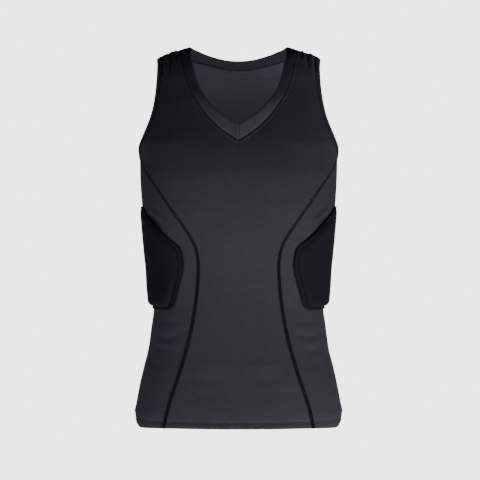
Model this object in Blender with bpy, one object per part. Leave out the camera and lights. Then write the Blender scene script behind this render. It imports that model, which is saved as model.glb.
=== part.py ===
"""Padded compression shirt, sleeveless, filled out as it is worn and hollow.

The cloth follows one worn form, a stack of level sections. Each cut piece is a
patch of that form between its seams, made into a wall. A place on the form is
an angle and a level. The angle runs from 0 at centre front over 90 at the
wearer's left side to 180 at centre back, and the other half is its mirror.
The level is how far the place lies below the high point of the shoulders.

Lengths are in millimetres here and in metres in the meshes. The front faces
-Y and the origin lies midway between the shoulder straps, level with their
middles, where the wearer's shoulders carry the shirt.
"""

import math
from collections import namedtuple

import bpy
import numpy as np

MILLIMETRE = 0.001
HOLD_LEVEL = 11.0           # level of the origin, at the middle of each strap

CLOTH_WALL = 1.4            # jersey under tension
SEAM_GAP = 0.3              # left between neighbouring pieces

HEM_LEVEL = 672.0           # centre front and back
HEM_DIP = 7.5               # how much lower the hem's edge hangs at the sides
YOKE_LEVEL = 217.0          # below this the rows of cloth run level
SKIRT_LEVEL = 640.0         # last plain level above the turned hem

BINDING_WIDTH = 8.0
SIDE_PANEL_TOP = 20.0       # from the side line to the side panel's corner at the armhole

# How many facets the pieces have each way
HALF_PANEL_COLUMNS = 8
SIDE_PANEL_COLUMNS = 14
YOKE_ROWS = 17              # shoulder seam to yoke level
SEAM_TOP_ROWS = 3           # the yoke rows that meet the side panel
NECK_FRONT_ROWS = 15        # the yoke rows that meet the neckband in front
NECK_BACK_ROWS = 8          # the yoke rows that meet the neckband behind
BODY_ROWS = 18              # yoke level to skirt level
ROW_SPREAD = 0.7            # below 1, the rows at centre back lie wider apart near the neck

# How closely a line is followed before it is divided evenly
RING_SAMPLES = 240
ROW_SAMPLES = 31
KNOT_SAMPLES = 12
SIDE_SAMPLES = 181
PROBE = 0.05                # step for the form's gradient
SETTLE_STEPS = 4            # corrections that bring a nearby point on to the form
SHARP_ANGLE = 50.0          # degrees, above which an edge isn't shaded smooth

Section = namedtuple("Section", "level half_width front_depth back_depth squareness")
FORM = (
    Section(-3, 72.0, 38, 48, 2.20),
    Section(1, 85.0, 42, 52, 2.20),
    Section(6, 101.5, 47, 56, 2.20),
    Section(11, 118.0, 51, 60, 2.25),
    Section(16.5, 135.0, 56, 65, 2.30),
    Section(21, 143.5, 59, 68, 2.30),
    Section(25, 147.3, 62, 71, 2.30),
    Section(33, 150.3, 66, 75, 2.35),
    Section(50, 154.5, 74, 83, 2.40),
    Section(80, 161.0, 83, 92, 2.45),
    Section(110, 168.5, 92, 99, 2.50),
    Section(140, 175.5, 101.5, 104, 2.50),
    Section(165, 180.3, 109.0, 107, 2.55),
    Section(180, 181.5, 113.0, 108, 2.60),
    Section(192, 178.8, 115.8, 108, 2.60),
    Section(206, 176.8, 118.3, 108, 2.60),
    Section(236, 176.3, 121.5, 106, 2.60),
    Section(280, 173.5, 118.5, 101, 2.60),
    Section(365, 165.6, 104.5, 91, 2.60),
    Section(420, 159.0, 96, 84, 2.60),
    Section(468, 152.0, 93, 81, 2.60),
    Section(500, 156.0, 93, 84, 2.60),
    Section(540, 161.5, 95, 90, 2.65),
    Section(580, 171.5, 99, 96, 2.70),
    Section(620, 180.0, 103, 100, 2.75),
    Section(642, 184.2, 105.5, 101.6, 2.72),
    Section(650, 186.4, 106, 102, 2.70),
    Section(657, 185.2, 106.5, 102, 2.70),
    Section(668, 184.2, 107, 102, 2.65),
    Section(674, 180.8, 107, 102, 2.65),
    Section(680, 176.5, 107, 102, 2.65),
)

# The armhole's edge, the same on the front and the back
ArmholeRow = namedtuple("ArmholeRow", "level half_width")
ARMHOLE_EDGE = (
    ArmholeRow(25, 147.3),
    ArmholeRow(34, 145.5),
    ArmholeRow(46, 144.9),
    ArmholeRow(79, 146.2),
    ArmholeRow(101, 148.7),
    ArmholeRow(123, 152.9),
    ArmholeRow(144, 160.0),
    ArmholeRow(165, 169.3),
    ArmholeRow(185, 177.6),
    ArmholeRow(192, 178.8),
)

# The curved seam between the front or back panel and the side panel, below the armhole's corner
SeamRow = namedtuple("SeamRow", "level half_width")
SIDE_SEAM = (
    SeamRow(217, 168.8),
    SeamRow(250, 146.8),
    SeamRow(298, 113.5),
    SeamRow(330, 90.8),
    SeamRow(345, 81.5),
    SeamRow(358, 75.0),
    SeamRow(372, 71.0),
    SeamRow(392, 69.2),
    SeamRow(422, 70.5),
    SeamRow(453, 73.5),
    SeamRow(515, 84.5),
    SeamRow(577, 101.8),
    SeamRow(639, 122.0),
    SeamRow(680, 131.5),
)

# The neckband's free edge and its seam, from the V at centre front over the shoulder to centre back
NeckRow = namedtuple("NeckRow", "where half_width level")
NECK_EDGE = (
    NeckRow("front", 0.0, 149.0),
    NeckRow("front", 15.6, 140.4),
    NeckRow("front", 32.1, 129.0),
    NeckRow("front", 46.0, 114.6),
    NeckRow("front", 58.6, 98.6),
    NeckRow("front", 68.5, 78.3),
    NeckRow("front", 76.4, 53.5),
    NeckRow("front", 81.7, 31.0),
    NeckRow("front", 84.0, 15.0),
    NeckRow("front", 85.0, 4.2),
    NeckRow("shoulder", 85.0, 1.0),
    NeckRow("back", 79.5, 1.4),
    NeckRow("back", 70.6, 3.3),
    NeckRow("back", 56.3, 7.4),
    NeckRow("back", 41.7, 11.0),
    NeckRow("back", 26.9, 14.0),
    NeckRow("back", 12.2, 15.6),
    NeckRow("back", 0.0, 16.1),
)
NECK_SEAM = (
    NeckRow("front", 0.0, 175.6),
    NeckRow("front", 18.3, 164.4),
    NeckRow("front", 34.7, 152.0),
    NeckRow("front", 51.4, 134.5),
    NeckRow("front", 65.4, 115.9),
    NeckRow("front", 76.7, 98.3),
    NeckRow("front", 86.7, 77.8),
    NeckRow("front", 94.0, 54.0),
    NeckRow("front", 98.2, 33.0),
    NeckRow("front", 101.0, 16.0),
    NeckRow("front", 101.9, 9.0),
    NeckRow("shoulder", 101.5, 6.0),
    NeckRow("back", 100.3, 9.0),
    NeckRow("back", 95.0, 12.3),
    NeckRow("back", 86.0, 16.4),
    NeckRow("back", 72.8, 20.0),
    NeckRow("back", 56.7, 23.2),
    NeckRow("back", 37.5, 27.6),
    NeckRow("back", 19.6, 30.4),
    NeckRow("back", 0.0, 31.4),
)

# The turned and stitched hem: how far the cloth's faces lie outside and inside the form
HemRow = namedtuple("HemRow", "level outside inside")
HEM = (
    HemRow(SKIRT_LEVEL, 0.0, CLOTH_WALL),
    HemRow(656.0, 0.2, 1.5),
    HemRow(660.8, -0.7, 2.0),
    HemRow(665.5, 0.7, 2.1),
    HemRow(HEM_LEVEL, 0.2, 1.9),
)

# A strip's faces across its width, from its free edge to its seam
StripRow = namedtuple("StripRow", "share outside inside")
BINDING_STRIP = (
    StripRow(0.00, 0.0, 1.0),
    StripRow(0.22, 0.5, 1.6),
    StripRow(0.78, 0.5, 1.6),
    StripRow(1.00, 0.1, 1.4),
)
NECKBAND_STRIP = (
    StripRow(0.00, 0.0, 1.0),
    StripRow(0.12, 0.5, 1.6),
    StripRow(0.88, 0.5, 1.6),
    StripRow(1.00, 0.1, 1.4),
)

# The rib pad's corners on the unrolled side panel, from the top edge round the front half.
# The reach is measured from the side line. The border is how wide the flat stitched edge is
# from this corner to the next, and the splits are the facets there.
PadCorner = namedtuple("PadCorner", "reach level border splits")
PAD_CORNERS = (
    PadCorner(44, 287.5, 9.5, 6),
    PadCorner(126, 361.0, 9.5, 2),
    PadCorner(124.5, 394.0, 9.5, 5),
    PadCorner(86, 470.0, 5.0, 11),
)
PAD_TOP_BORDER = 4.0
PAD_TOP_SPLITS = 5
PAD_CORNER_RADIUS = 15.0    # at the outer edge
PAD_BORDER_TURN = 6.0       # how much tighter the corners are at the border's inner line
PAD_LEAST_RADIUS = 3.0
PAD_SLOPE = 5.0             # width of the foam's rounded shoulder
PAD_CLEAR = 1.2             # over the side panel
PAD_BORDER_WALL = 1.4
PAD_TOP_HEIGHT = 3.6        # foam and cover at the upper end
PAD_LOW_HEIGHT = 10.0       # at the thick lower end
PAD_CROWN = 0.8             # extra height at the side line
PAD_CROWN_REACH = 120.0     # where the crown has died away
PAD_THICKENS = (392.0, 464.0)
PAD_RINGS = (0.84, 0.68, 0.52, 0.36, 0.2)

Finish = namedtuple("Finish", "colour roughness")
JERSEY = Finish((0.036, 0.034, 0.048), 0.62)
RIB_COVER = Finish((0.012, 0.011, 0.016), 0.7)


class Curve:
    """A smooth curve through a table's rows that never overshoots them."""

    def __init__(self, places, values):
        self.places = np.array(places, float)
        self.values = np.array(values, float)
        self.steps = np.diff(self.places)
        slopes = np.diff(self.values) / self.steps
        self.turns = np.zeros(len(self.values))
        for k in range(1, len(slopes)):
            before, after = slopes[k - 1], slopes[k]
            if before * after > 0:
                near = 2 * self.steps[k] + self.steps[k - 1]
                far = self.steps[k] + 2 * self.steps[k - 1]
                self.turns[k] = (near + far) / (near / before + far / after)
        self.turns[0] = slopes[0]
        self.turns[-1] = slopes[-1]

    def at(self, place):
        """Read the curve."""
        k = int(min(max(np.searchsorted(self.places, place) - 1, 0), len(self.steps) - 1))
        step = self.steps[k]
        t = (place - self.places[k]) / step
        return (
            (2 * t**3 - 3 * t**2 + 1) * self.values[k]
            + (t**3 - 2 * t**2 + t) * step * self.turns[k]
            + (3 * t**2 - 2 * t**3) * self.values[k + 1]
            + (t**3 - t**2) * step * self.turns[k + 1]
        )


FORM_COLUMNS = list(zip(*FORM))
HALF_WIDTH, FRONT_DEPTH, BACK_DEPTH, SQUARENESS = (
    Curve(FORM_COLUMNS[0], column) for column in FORM_COLUMNS[1:]
)


def section(level):
    """Give the form's half width, front depth, back depth and squareness at a level."""
    return HALF_WIDTH.at(level), FRONT_DEPTH.at(level), BACK_DEPTH.at(level), SQUARENESS.at(level)


def dip(angle, level):
    """Say how far a place hangs below its level, which grows towards the sides of the hem."""
    share = max(0.0, (level - SKIRT_LEVEL) / (HEM_LEVEL - SKIRT_LEVEL))
    return HEM_DIP * share**2 * math.sin(math.radians(angle)) ** 4


def on_form(place):
    """Turn an angle and a level into a point of the form."""
    angle, level = place
    drop = level + dip(angle, level)
    width, front, back, power = section(drop)
    turn = math.radians(angle)
    x = width * abs(math.sin(turn)) ** (2 / power)
    y = abs(math.cos(turn)) ** (2 / power)
    return np.array((x, -front * y if angle < 90 else back * y, -drop))


def beyond(point):
    """Say how far outside the form a point lies: 0 on it, below 0 within."""
    width, front, back, power = section(-point[2])
    depth = front if point[1] < 0 else back
    return (abs(point[0]) / width) ** power + (abs(point[1]) / depth) ** power - 1


def slope(point):
    """Give the gradient of beyond() at a point."""
    change = []
    for axis in np.eye(3):
        change.append((beyond(point + PROBE * axis) - beyond(point - PROBE * axis)) / (2 * PROBE))
    return np.array(change)


def outward(point):
    """Give the form's outward normal near a point."""
    gradient = slope(point)
    return gradient / np.linalg.norm(gradient)


def settle(point):
    """Bring a point that lies near the form on to it."""
    for _ in range(SETTLE_STEPS):
        gradient = slope(point)
        point = point - gradient * beyond(point) / gradient.dot(gradient)
    return point


def place_of(point):
    """Give the angle and level of a point of the form above the yoke level."""
    level = -point[2]
    width, front, back, power = section(level)
    depth = front if point[1] < 0 else back
    sideways = (abs(point[0]) / width) ** (power / 2)
    endways = (abs(point[1]) / depth) ** (power / 2)
    angle = math.degrees(math.atan2(sideways, endways))
    return np.array((angle if point[1] < 0 else 180 - angle, level))


def place_at(half_width, level, behind):
    """Give the angle and level of the front or back of the form at a distance from its centre."""
    width, _, _, power = section(level)
    angle = math.degrees(math.asin(min(1.0, half_width / width) ** (power / 2)))
    return np.array((180 - angle if behind else angle, level))


def ease(share):
    """Slow an even run from 0 to 1 down at both ends."""
    return share**3 * (10 - 15 * share + 6 * share**2)


def lengths_along(points):
    """Add up the distances along a line of points."""
    steps = np.linalg.norm(np.diff(points, axis=0), axis=1)
    return np.concatenate(([0.0], np.cumsum(steps)))


def divide(places, count):
    """Divide a line of places into equal lengths of cloth."""
    run = lengths_along(np.array([on_form(place) for place in places]))
    marks = np.linspace(0, run[-1], count + 1)
    return np.column_stack([np.interp(marks, run, column) for column in np.transpose(places)])


def across(start, end, count):
    """Give a row of evenly spaced places from one boundary of a piece to the other."""
    shares = np.linspace(0, 1, ROW_SAMPLES)[:, None]
    return divide(np.asarray(start) * (1 - shares) + np.asarray(end) * shares, count)


def neck_line(table):
    """Run a smooth line of places through the rows of a neck table.

    The line comes in two stretches, from the shoulder down the front and from the shoulder
    round the back.
    """
    knots = []
    for row in table:
        if row.where == "shoulder":
            knots.append((90.0, row.level))
        else:
            knots.append(tuple(place_at(row.half_width, row.level, row.where == "back")))
    knots = np.array(knots)
    steps = np.sqrt(np.linalg.norm(np.diff(knots, axis=0), axis=1))
    slopes = np.diff(knots, axis=0) / steps[:, None]
    turns = np.zeros_like(knots)
    turns[0] = slopes[0]
    before, after = steps[:-1, None], steps[1:, None]
    turns[1:-1] = (slopes[:-1] * after + slopes[1:] * before) / (before + after)
    turns[-1] = (slopes[-1][0], 0.0)
    line = []
    for k, step in enumerate(steps):
        for t in np.linspace(0, 1, KNOT_SAMPLES, endpoint=False):
            line.append(
                (2 * t**3 - 3 * t**2 + 1) * knots[k]
                + (t**3 - 2 * t**2 + t) * step * turns[k]
                + (3 * t**2 - 2 * t**3) * knots[k + 1]
                + (t**3 - t**2) * step * turns[k + 1]
            )
    line.append(knots[-1])
    shoulder = [row.where for row in table].index("shoulder") * KNOT_SAMPLES
    front = divide(np.array(line[: shoulder + 1]), NECK_FRONT_ROWS)
    back = divide(np.array(line[shoulder:]), NECK_BACK_ROWS)
    return front[::-1], back


def armhole_lines():
    """Give the armhole's edge and its seam, from the shoulder down the front and up the back.

    Each line is a list of places in three stretches: the front panel's, the side panel's and
    the back panel's.
    """
    outline = Curve(*zip(*ARMHOLE_EDGE))
    shares = np.linspace(0, 1, RING_SAMPLES // 2 + 1)
    levels = outline.places[0] + (outline.places[-1] - outline.places[0]) * ease(shares)
    front = [place_at(outline.at(level), level, False) for level in levels]
    back = [place_at(outline.at(level), level, True) for level in levels]
    edge = np.array([on_form(place) for place in front[:-1] + back[::-1][:-1]])
    edge[0][1] = 0.0
    edge[RING_SAMPLES // 2][1] = 0.0
    run = lengths_along(np.vstack((edge, edge[:1])))
    marks = np.linspace(0, run[-1], RING_SAMPLES + 1)[:-1]
    edge = np.column_stack([np.interp(marks, run, np.append(column, column[0])) for column in edge.T])
    edge = np.array([settle(point) for point in edge])
    forward = np.roll(edge, -1, axis=0) - np.roll(edge, 1, axis=0)
    seam = []
    for point, heading in zip(edge, forward):
        inward = np.cross(heading / np.linalg.norm(heading), outward(point))
        seam.append(settle(point + BINDING_WIDTH * inward))
    seam = np.array(seam)
    low = int(np.argmin(seam[:, 2]))
    corner_front = low - int(np.argmax(seam[low::-1, 1] < -SIDE_PANEL_TOP))
    corner_back = low + int(np.argmax(seam[low:, 1] > SIDE_PANEL_TOP))
    stops = (
        (0, corner_front, YOKE_ROWS - SEAM_TOP_ROWS),
        (corner_front, corner_back, SIDE_PANEL_COLUMNS),
        (corner_back, RING_SAMPLES, YOKE_ROWS - SEAM_TOP_ROWS),
    )
    lines = []
    for ring in (edge, seam):
        closed = np.vstack((ring, ring[:1]))
        stretches = []
        for start, end, count in stops:
            picks = np.linspace(start, end, count + 1)
            counted = np.arange(RING_SAMPLES + 1)
            spots = np.column_stack([np.interp(picks, counted, column) for column in closed.T])
            stretches.append([place_of(settle(spot)) for spot in spots])
        lines.append(stretches)
    return lines


def side_seam(corner):
    """Give the curved side seam's places from the armhole's corner to the hem."""
    behind = corner[0] > 90
    levels, widths = zip(*SIDE_SEAM)
    line = Curve((corner[1], *levels), (on_form(corner)[0], *widths))
    places = []
    for level in np.linspace(corner[1], YOKE_LEVEL, SEAM_TOP_ROWS + 1)[1:]:
        places.append(place_at(line.at(level), level, behind))
    for level in body_levels():
        places.append(place_at(line.at(level), level, behind))
    return [np.array(corner)] + places


def body_levels():
    """Give the levels of the rows of cloth below the yoke."""
    plain = list(np.linspace(YOKE_LEVEL, SKIRT_LEVEL, BODY_ROWS + 1)[1:])
    return plain + [row.level for row in HEM[1:]]


def faces_of_wall(level):
    """Say how far a panel's outer and inner faces lie outside and inside the form."""
    if level <= SKIRT_LEVEL:
        return 0.0, CLOTH_WALL
    levels, outsides, insides = (np.array(column, float) for column in zip(*HEM))
    return np.interp(level, levels, outsides), np.interp(level, levels, insides)


class Patch:
    """A piece of cloth: its points on the form, how thick it is at each, and its facets."""

    def __init__(self):
        self.points = []
        self.normals = []
        self.outsides = []
        self.insides = []
        self.facets = []

    def add(self, place, outside, inside, mirrored=False):
        """Add one point by its place, or by its mirror's, and return its number."""
        point = on_form(place)
        if place[0] in (0, 180):
            point[0] = 0.0
        normal = outward(point)
        flip = np.array((-1, 1, 1)) if mirrored else np.ones(3)
        self.points.append(point * flip)
        self.normals.append(normal * flip)
        self.outsides.append(outside)
        self.insides.append(inside)
        return len(self.points) - 1

    def span(self, first, second, mirrored=False):
        """Join two rows of points with facets that face out, or in where they are mirrored."""
        for k in range(len(first) - 1):
            facet = (first[k], first[k + 1], second[k + 1], second[k])
            self.facets.append(facet[::-1] if mirrored else facet)

    def border(self):
        """Give the patch's open edges, in the facets' order."""
        edges = set()
        for facet in self.facets:
            for start, end in zip(facet, facet[1:] + facet[:1]):
                if (end, start) in edges:
                    edges.remove((end, start))
                else:
                    edges.add((start, end))
        return edges

    def draw_back(self):
        """Draw the patch's border back by half a seam gap, square to both of its edges."""
        points = np.array(self.points)
        after = dict(self.border())
        before = {end: start for start, end in after.items()}
        for k in after:
            sides = []
            for start, end in ((before[k], k), (k, after[k])):
                side = np.cross(self.normals[k], points[end] - points[start])
                sides.append(side / np.linalg.norm(side))
            mitre = (sides[0] + sides[1]) / (1 + sides[0].dot(sides[1]))
            self.points[k] = points[k] + mitre * SEAM_GAP / 2

    def build(self, name, finish):
        """Make the patch a closed wall."""
        self.draw_back()
        points = np.array(self.points)
        normals = np.array(self.normals)
        outer = points + normals * np.array(self.outsides)[:, None]
        inner = points - normals * np.array(self.insides)[:, None]
        count = len(points)
        facets = list(self.facets)
        facets += [tuple(k + count for k in facet[::-1]) for facet in self.facets]
        facets += [(end, start, start + count, end + count) for start, end in sorted(self.border())]
        return add_object(name, np.vstack((outer, inner)), facets, finish)


def add_object(name, points, facets, finish):
    """Add one piece to the scene as an object with its own material."""
    places = [(x * MILLIMETRE, y * MILLIMETRE, (z + HOLD_LEVEL) * MILLIMETRE) for x, y, z in points]
    mesh = bpy.data.meshes.new(name)
    mesh.from_pydata(places, [], facets)
    mesh.validate()
    mesh.shade_smooth()
    mesh.set_sharp_from_angle(angle=math.radians(SHARP_ANGLE))
    material = bpy.data.materials.new(name)
    material.use_nodes = True
    shader = material.node_tree.nodes["Principled BSDF"]
    shader.inputs["Base Color"].default_value = (*finish.colour, 1)
    shader.inputs["Roughness"].default_value = finish.roughness
    shader.inputs["Metallic"].default_value = 0.0
    mesh.materials.append(material)
    piece = bpy.data.objects.new(name, mesh)
    bpy.context.scene.collection.objects.link(piece)
    return piece


def panel_rows(neck, armhole, seam, behind):
    """Give a half panel's rows of places, each from its inner boundary to its outer one."""
    centre = 180.0 if behind else 0.0
    neck_low = neck[-1][1]
    corner_level = armhole[-1][1]
    free_rows = YOKE_ROWS - SEAM_TOP_ROWS - (len(neck) - 1)
    inner = [tuple(place) for place in neck]
    if free_rows > 0:
        shares = np.linspace(0, 1, free_rows + 1)[1:] ** ROW_SPREAD
        inner += [(centre, neck_low + (corner_level - neck_low) * share) for share in shares]
    rest = np.linspace(inner[-1][1], YOKE_LEVEL, YOKE_ROWS - len(inner) + 2)[1:]
    inner += [(centre, level) for level in (*rest, *body_levels())]
    outer = [tuple(place) for place in armhole] + [tuple(place) for place in seam[1:]]
    rows = [across(start, end, HALF_PANEL_COLUMNS) for start, end in zip(inner, outer)]
    return rows, len(neck) - 1


def build_panel(name, neck, armhole, seam, behind):
    """Build the front or back panel, both halves in one piece."""
    rows, first_whole = panel_rows(neck, armhole, seam, behind)
    patch = Patch()
    halves = {False: [], True: []}
    for r, row in enumerate(rows):
        numbers = [patch.add(place, *faces_of_wall(row[0][1])) for place in row]
        mirror = [patch.add(place, *faces_of_wall(row[0][1]), mirrored=True) for place in row[1:]]
        if r >= first_whole:
            mirror.insert(0, numbers[0])
        else:
            mirror.insert(0, patch.add(row[0], *faces_of_wall(row[0][1]), mirrored=True))
        halves[False].append(numbers)
        halves[True].append(mirror)
    for mirrored, numbers in halves.items():
        for upper, lower in zip(numbers, numbers[1:]):
            patch.span(lower, upper, mirrored != behind)
    return patch.build(name, JERSEY)


def build_side_panel(name, top, front_seam, back_seam, mirrored):
    """Build a side panel, from the armhole to the hem and from the front seam to the back one."""
    patch = Patch()
    rows = [top]
    for start, end in zip(front_seam[1:], back_seam[1:]):
        rows.append(across(start, end, SIDE_PANEL_COLUMNS))
    numbers = [[patch.add(place, *faces_of_wall(row[0][1]), mirrored) for place in row] for row in rows]
    for upper, lower in zip(numbers, numbers[1:]):
        patch.span(lower, upper, mirrored)
    return patch.build(name, JERSEY)


def strip_rows(edge, seam, strip):
    """Give the rows of places across a strip, from its free edge to its seam."""
    rows = []
    for row in strip:
        rows.append([np.asarray(a) * (1 - row.share) + np.asarray(b) * row.share for a, b in zip(edge, seam)])
    return rows


def build_armhole_binding(name, edge, seam, mirrored):
    """Build the closed ring that binds an armhole."""
    edge_ring = [place for stretch in edge for place in stretch[:-1]]
    seam_ring = [place for stretch in seam for place in stretch[:-1]]
    patch = Patch()
    rings = []
    for row, places in zip(BINDING_STRIP, strip_rows(edge_ring, seam_ring, BINDING_STRIP)):
        numbers = [patch.add(place, row.outside, row.inside, mirrored) for place in places]
        rings.append(numbers + numbers[:1])
    for first, second in zip(rings, rings[1:]):
        patch.span(first, second, not mirrored)
    return patch.build(name, JERSEY)


def build_neckband(name, edge, seam):
    """Build the neckband, a closed ring with a mitred V at centre front."""
    edge_half = list(edge[0][::-1]) + list(edge[1][1:])
    seam_half = list(seam[0][::-1]) + list(seam[1][1:])
    patch = Patch()
    rings = []
    for row, places in zip(NECKBAND_STRIP, strip_rows(edge_half, seam_half, NECKBAND_STRIP)):
        left = [patch.add(place, row.outside, row.inside) for place in places]
        right = [patch.add(place, row.outside, row.inside, True) for place in places[1:-1]]
        rings.append(left + right[::-1] + left[:1])
    for first, second in zip(rings, rings[1:]):
        patch.span(second, first)
    return patch.build(name, JERSEY)


def pad_outline(inset_share, slope_inset):
    """Give the rib pad's rounded outline on the unrolled side panel, drawn in from its edge.

    inset_share is 0 at the edge and 1 at the border's inner line, and slope_inset is how much
    further in the line lies.
    """
    corners = [(corner.reach, corner.level) for corner in PAD_CORNERS]
    corners += [(-reach, level) for reach, level in corners[::-1]]
    borders = [corner.border for corner in PAD_CORNERS]
    borders += borders[:-1][::-1] + [PAD_TOP_BORDER]
    splits = [corner.splits for corner in PAD_CORNERS]
    splits += splits[:-1][::-1] + [PAD_TOP_SPLITS]
    count = len(corners)
    lines = []
    for k in range(count):
        start = np.array(corners[k], float)
        along = np.array(corners[(k + 1) % count]) - start
        along /= np.linalg.norm(along)
        inward = np.array((-along[1], along[0]))
        lines.append((start + inward * (borders[k] * inset_share + slope_inset), along))
    radius = max(PAD_CORNER_RADIUS - PAD_BORDER_TURN * inset_share - slope_inset, PAD_LEAST_RADIUS)
    outline = []
    for k in range(count):
        (start, along), (origin, heading) = lines[k - 1], lines[k]
        gauge = np.column_stack((along, -heading))
        corner = start + along * np.linalg.solve(gauge, origin - start)[0]
        bend = math.acos(np.clip(along.dot(heading), -1, 1))
        back_off = radius * math.tan(bend / 2)
        first, last = corner - along * back_off, corner + heading * back_off
        middle = (first + last + 2 * corner) / 4
        outline.append((first, middle, last))
    ring = []
    for k in range(count):
        first, middle, last = outline[k]
        ring += [first, middle, last]
        following = outline[(k + 1) % count][0]
        for share in np.linspace(0, 1, splits[k] + 1)[1:-1]:
            ring.append(last * (1 - share) + following * share)
    return np.array(ring)


def pad_height(level):
    """Say how far the pad's foam stands out at a level."""
    low, high = PAD_THICKENS
    share = min(1.0, max(0.0, (level - low) / (high - low)))
    return PAD_TOP_HEIGHT + (PAD_LOW_HEIGHT - PAD_TOP_HEIGHT) * share**2 * (3 - 2 * share)


def round_the_side(reach, level):
    """Give the place that lies a length of cloth in front of (or, below 0, behind) the side line."""
    angles = np.linspace(90, 0 if reach >= 0 else 180, SIDE_SAMPLES)
    run = lengths_along(np.array([on_form((angle, level)) for angle in angles]))
    return float(np.interp(abs(reach), run, angles)), level


def build_rib_pad(name, mirrored):
    """Build a rib pad: foam in a knit cover, with a flat stitched border."""
    edge = pad_outline(0.0, 0.0)
    border = pad_outline(1.0, 0.0)
    top = pad_outline(1.0, PAD_SLOPE)
    middle = top.mean(axis=0)
    rings = [(edge, 0.0), (border, 0.0), (top, 1.0)]
    rings += [(middle + (top - middle) * share, 1.0) for share in PAD_RINGS]
    patch = Patch()
    numbers = []
    for ring, raised in rings:
        row = []
        for reach, level in ring:
            crown = PAD_CROWN * (1 - min(1.0, abs(reach) / PAD_CROWN_REACH)) * raised
            height = PAD_BORDER_WALL + raised * (pad_height(level) - PAD_BORDER_WALL) + crown
            row.append(patch.add(round_the_side(reach, level), PAD_CLEAR + height, -PAD_CLEAR, mirrored))
        numbers.append(row + row[:1])
    for first, second in zip(numbers, numbers[1:]):
        patch.span(first, second, mirrored)
    height = pad_height(middle[1]) + PAD_CROWN
    centre = patch.add(round_the_side(*middle), PAD_CLEAR + height, -PAD_CLEAR, mirrored)
    last = numbers[-1]
    for k in range(len(last) - 1):
        facet = (last[k], last[k + 1], centre)
        patch.facets.append(facet[::-1] if mirrored else facet)
    return patch.build(name, RIB_COVER)


def main():
    """Clear the scene and build each piece."""
    for old in list(bpy.data.objects):
        bpy.data.objects.remove(old, do_unlink=True)
    neck_edge = neck_line(NECK_EDGE)
    neck_seam = neck_line(NECK_SEAM)
    armhole_edge, armhole_seam = armhole_lines()
    front_seam = side_seam(armhole_seam[0][-1])
    back_seam = side_seam(armhole_seam[2][0])
    build_panel("front_panel", neck_seam[0], armhole_seam[0], front_seam, False)
    build_panel("back_panel", neck_seam[1], armhole_seam[2][::-1], back_seam, True)
    build_neckband("neckband", neck_edge, neck_seam)
    for side, mirrored in (("left", False), ("right", True)):
        build_side_panel(f"side_panel_{side}", armhole_seam[1], front_seam, back_seam, mirrored)
        build_armhole_binding(f"armhole_binding_{side}", armhole_edge, armhole_seam, mirrored)
        build_rib_pad(f"rib_pad_{side}", mirrored)


main()
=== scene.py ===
"""Looks of a padded compression shirt: sleeveless, V-necked, filled out as worn and hollow.

The cloth follows the same worn form as the part's source, a stack of level sections. A place
on the form is an angle and a level: the angle runs from 0 at centre front over 90 at the
wearer's left side to 180 at centre back, and the level is how far the place lies below the
high point of the shoulders. Lengths are in millimetres here and in metres in the meshes.
"""

import logging
import math
from dataclasses import dataclass, field
from enum import Enum

import bpy
import numpy as np
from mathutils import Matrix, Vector


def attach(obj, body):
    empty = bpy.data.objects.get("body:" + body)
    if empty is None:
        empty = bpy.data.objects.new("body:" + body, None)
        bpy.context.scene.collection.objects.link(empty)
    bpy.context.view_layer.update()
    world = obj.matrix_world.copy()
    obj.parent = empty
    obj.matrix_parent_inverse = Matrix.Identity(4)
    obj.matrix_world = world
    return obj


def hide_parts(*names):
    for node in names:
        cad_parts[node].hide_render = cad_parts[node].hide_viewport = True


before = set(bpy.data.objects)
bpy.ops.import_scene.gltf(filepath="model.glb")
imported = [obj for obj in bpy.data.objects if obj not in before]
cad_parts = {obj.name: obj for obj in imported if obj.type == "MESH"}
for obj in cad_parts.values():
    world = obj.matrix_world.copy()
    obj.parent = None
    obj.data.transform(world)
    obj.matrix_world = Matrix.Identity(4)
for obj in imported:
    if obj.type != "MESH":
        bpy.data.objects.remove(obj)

log = logging.getLogger("shirt")

Array = np.ndarray

MILLIMETRE = 0.001

# the level of the frame's origin
HOLD_LEVEL = 11.0
# how far apart neighbouring pieces lie at a seam; below 0 they overlap
SEAM_GAP = -0.1
HEM_LEVEL = 672.0
# how much lower the hem's edge hangs at the sides
HEM_DIP = 7.5
YOKE_LEVEL = 217.0
SKIRT_LEVEL = 640.0
BINDING_WIDTH = 8.0
NECKBAND_WIDTH = 18.0
# how far before and behind the side line a side panel reaches at the armhole
SIDE_PANEL_TOP = 20.0
# how far below the neck seam its topstitching runs
NECK_ROW = 6.3
# the sharpest mitre at a corner of a piece, and the angle from which an edge is drawn sharp
MITRE_LIMIT = 0.4
SHARP_ANGLE = 60

# spacing of the worn form's measured girths
LEVEL_STEP = 6.0
ANGLE_STEP = 1.5
# where the knit's pattern starts on the back and side panels, so that no two panels share it
BACK_GRAIN = 2000.0
SIDE_GRAIN = 4000.0

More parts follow.
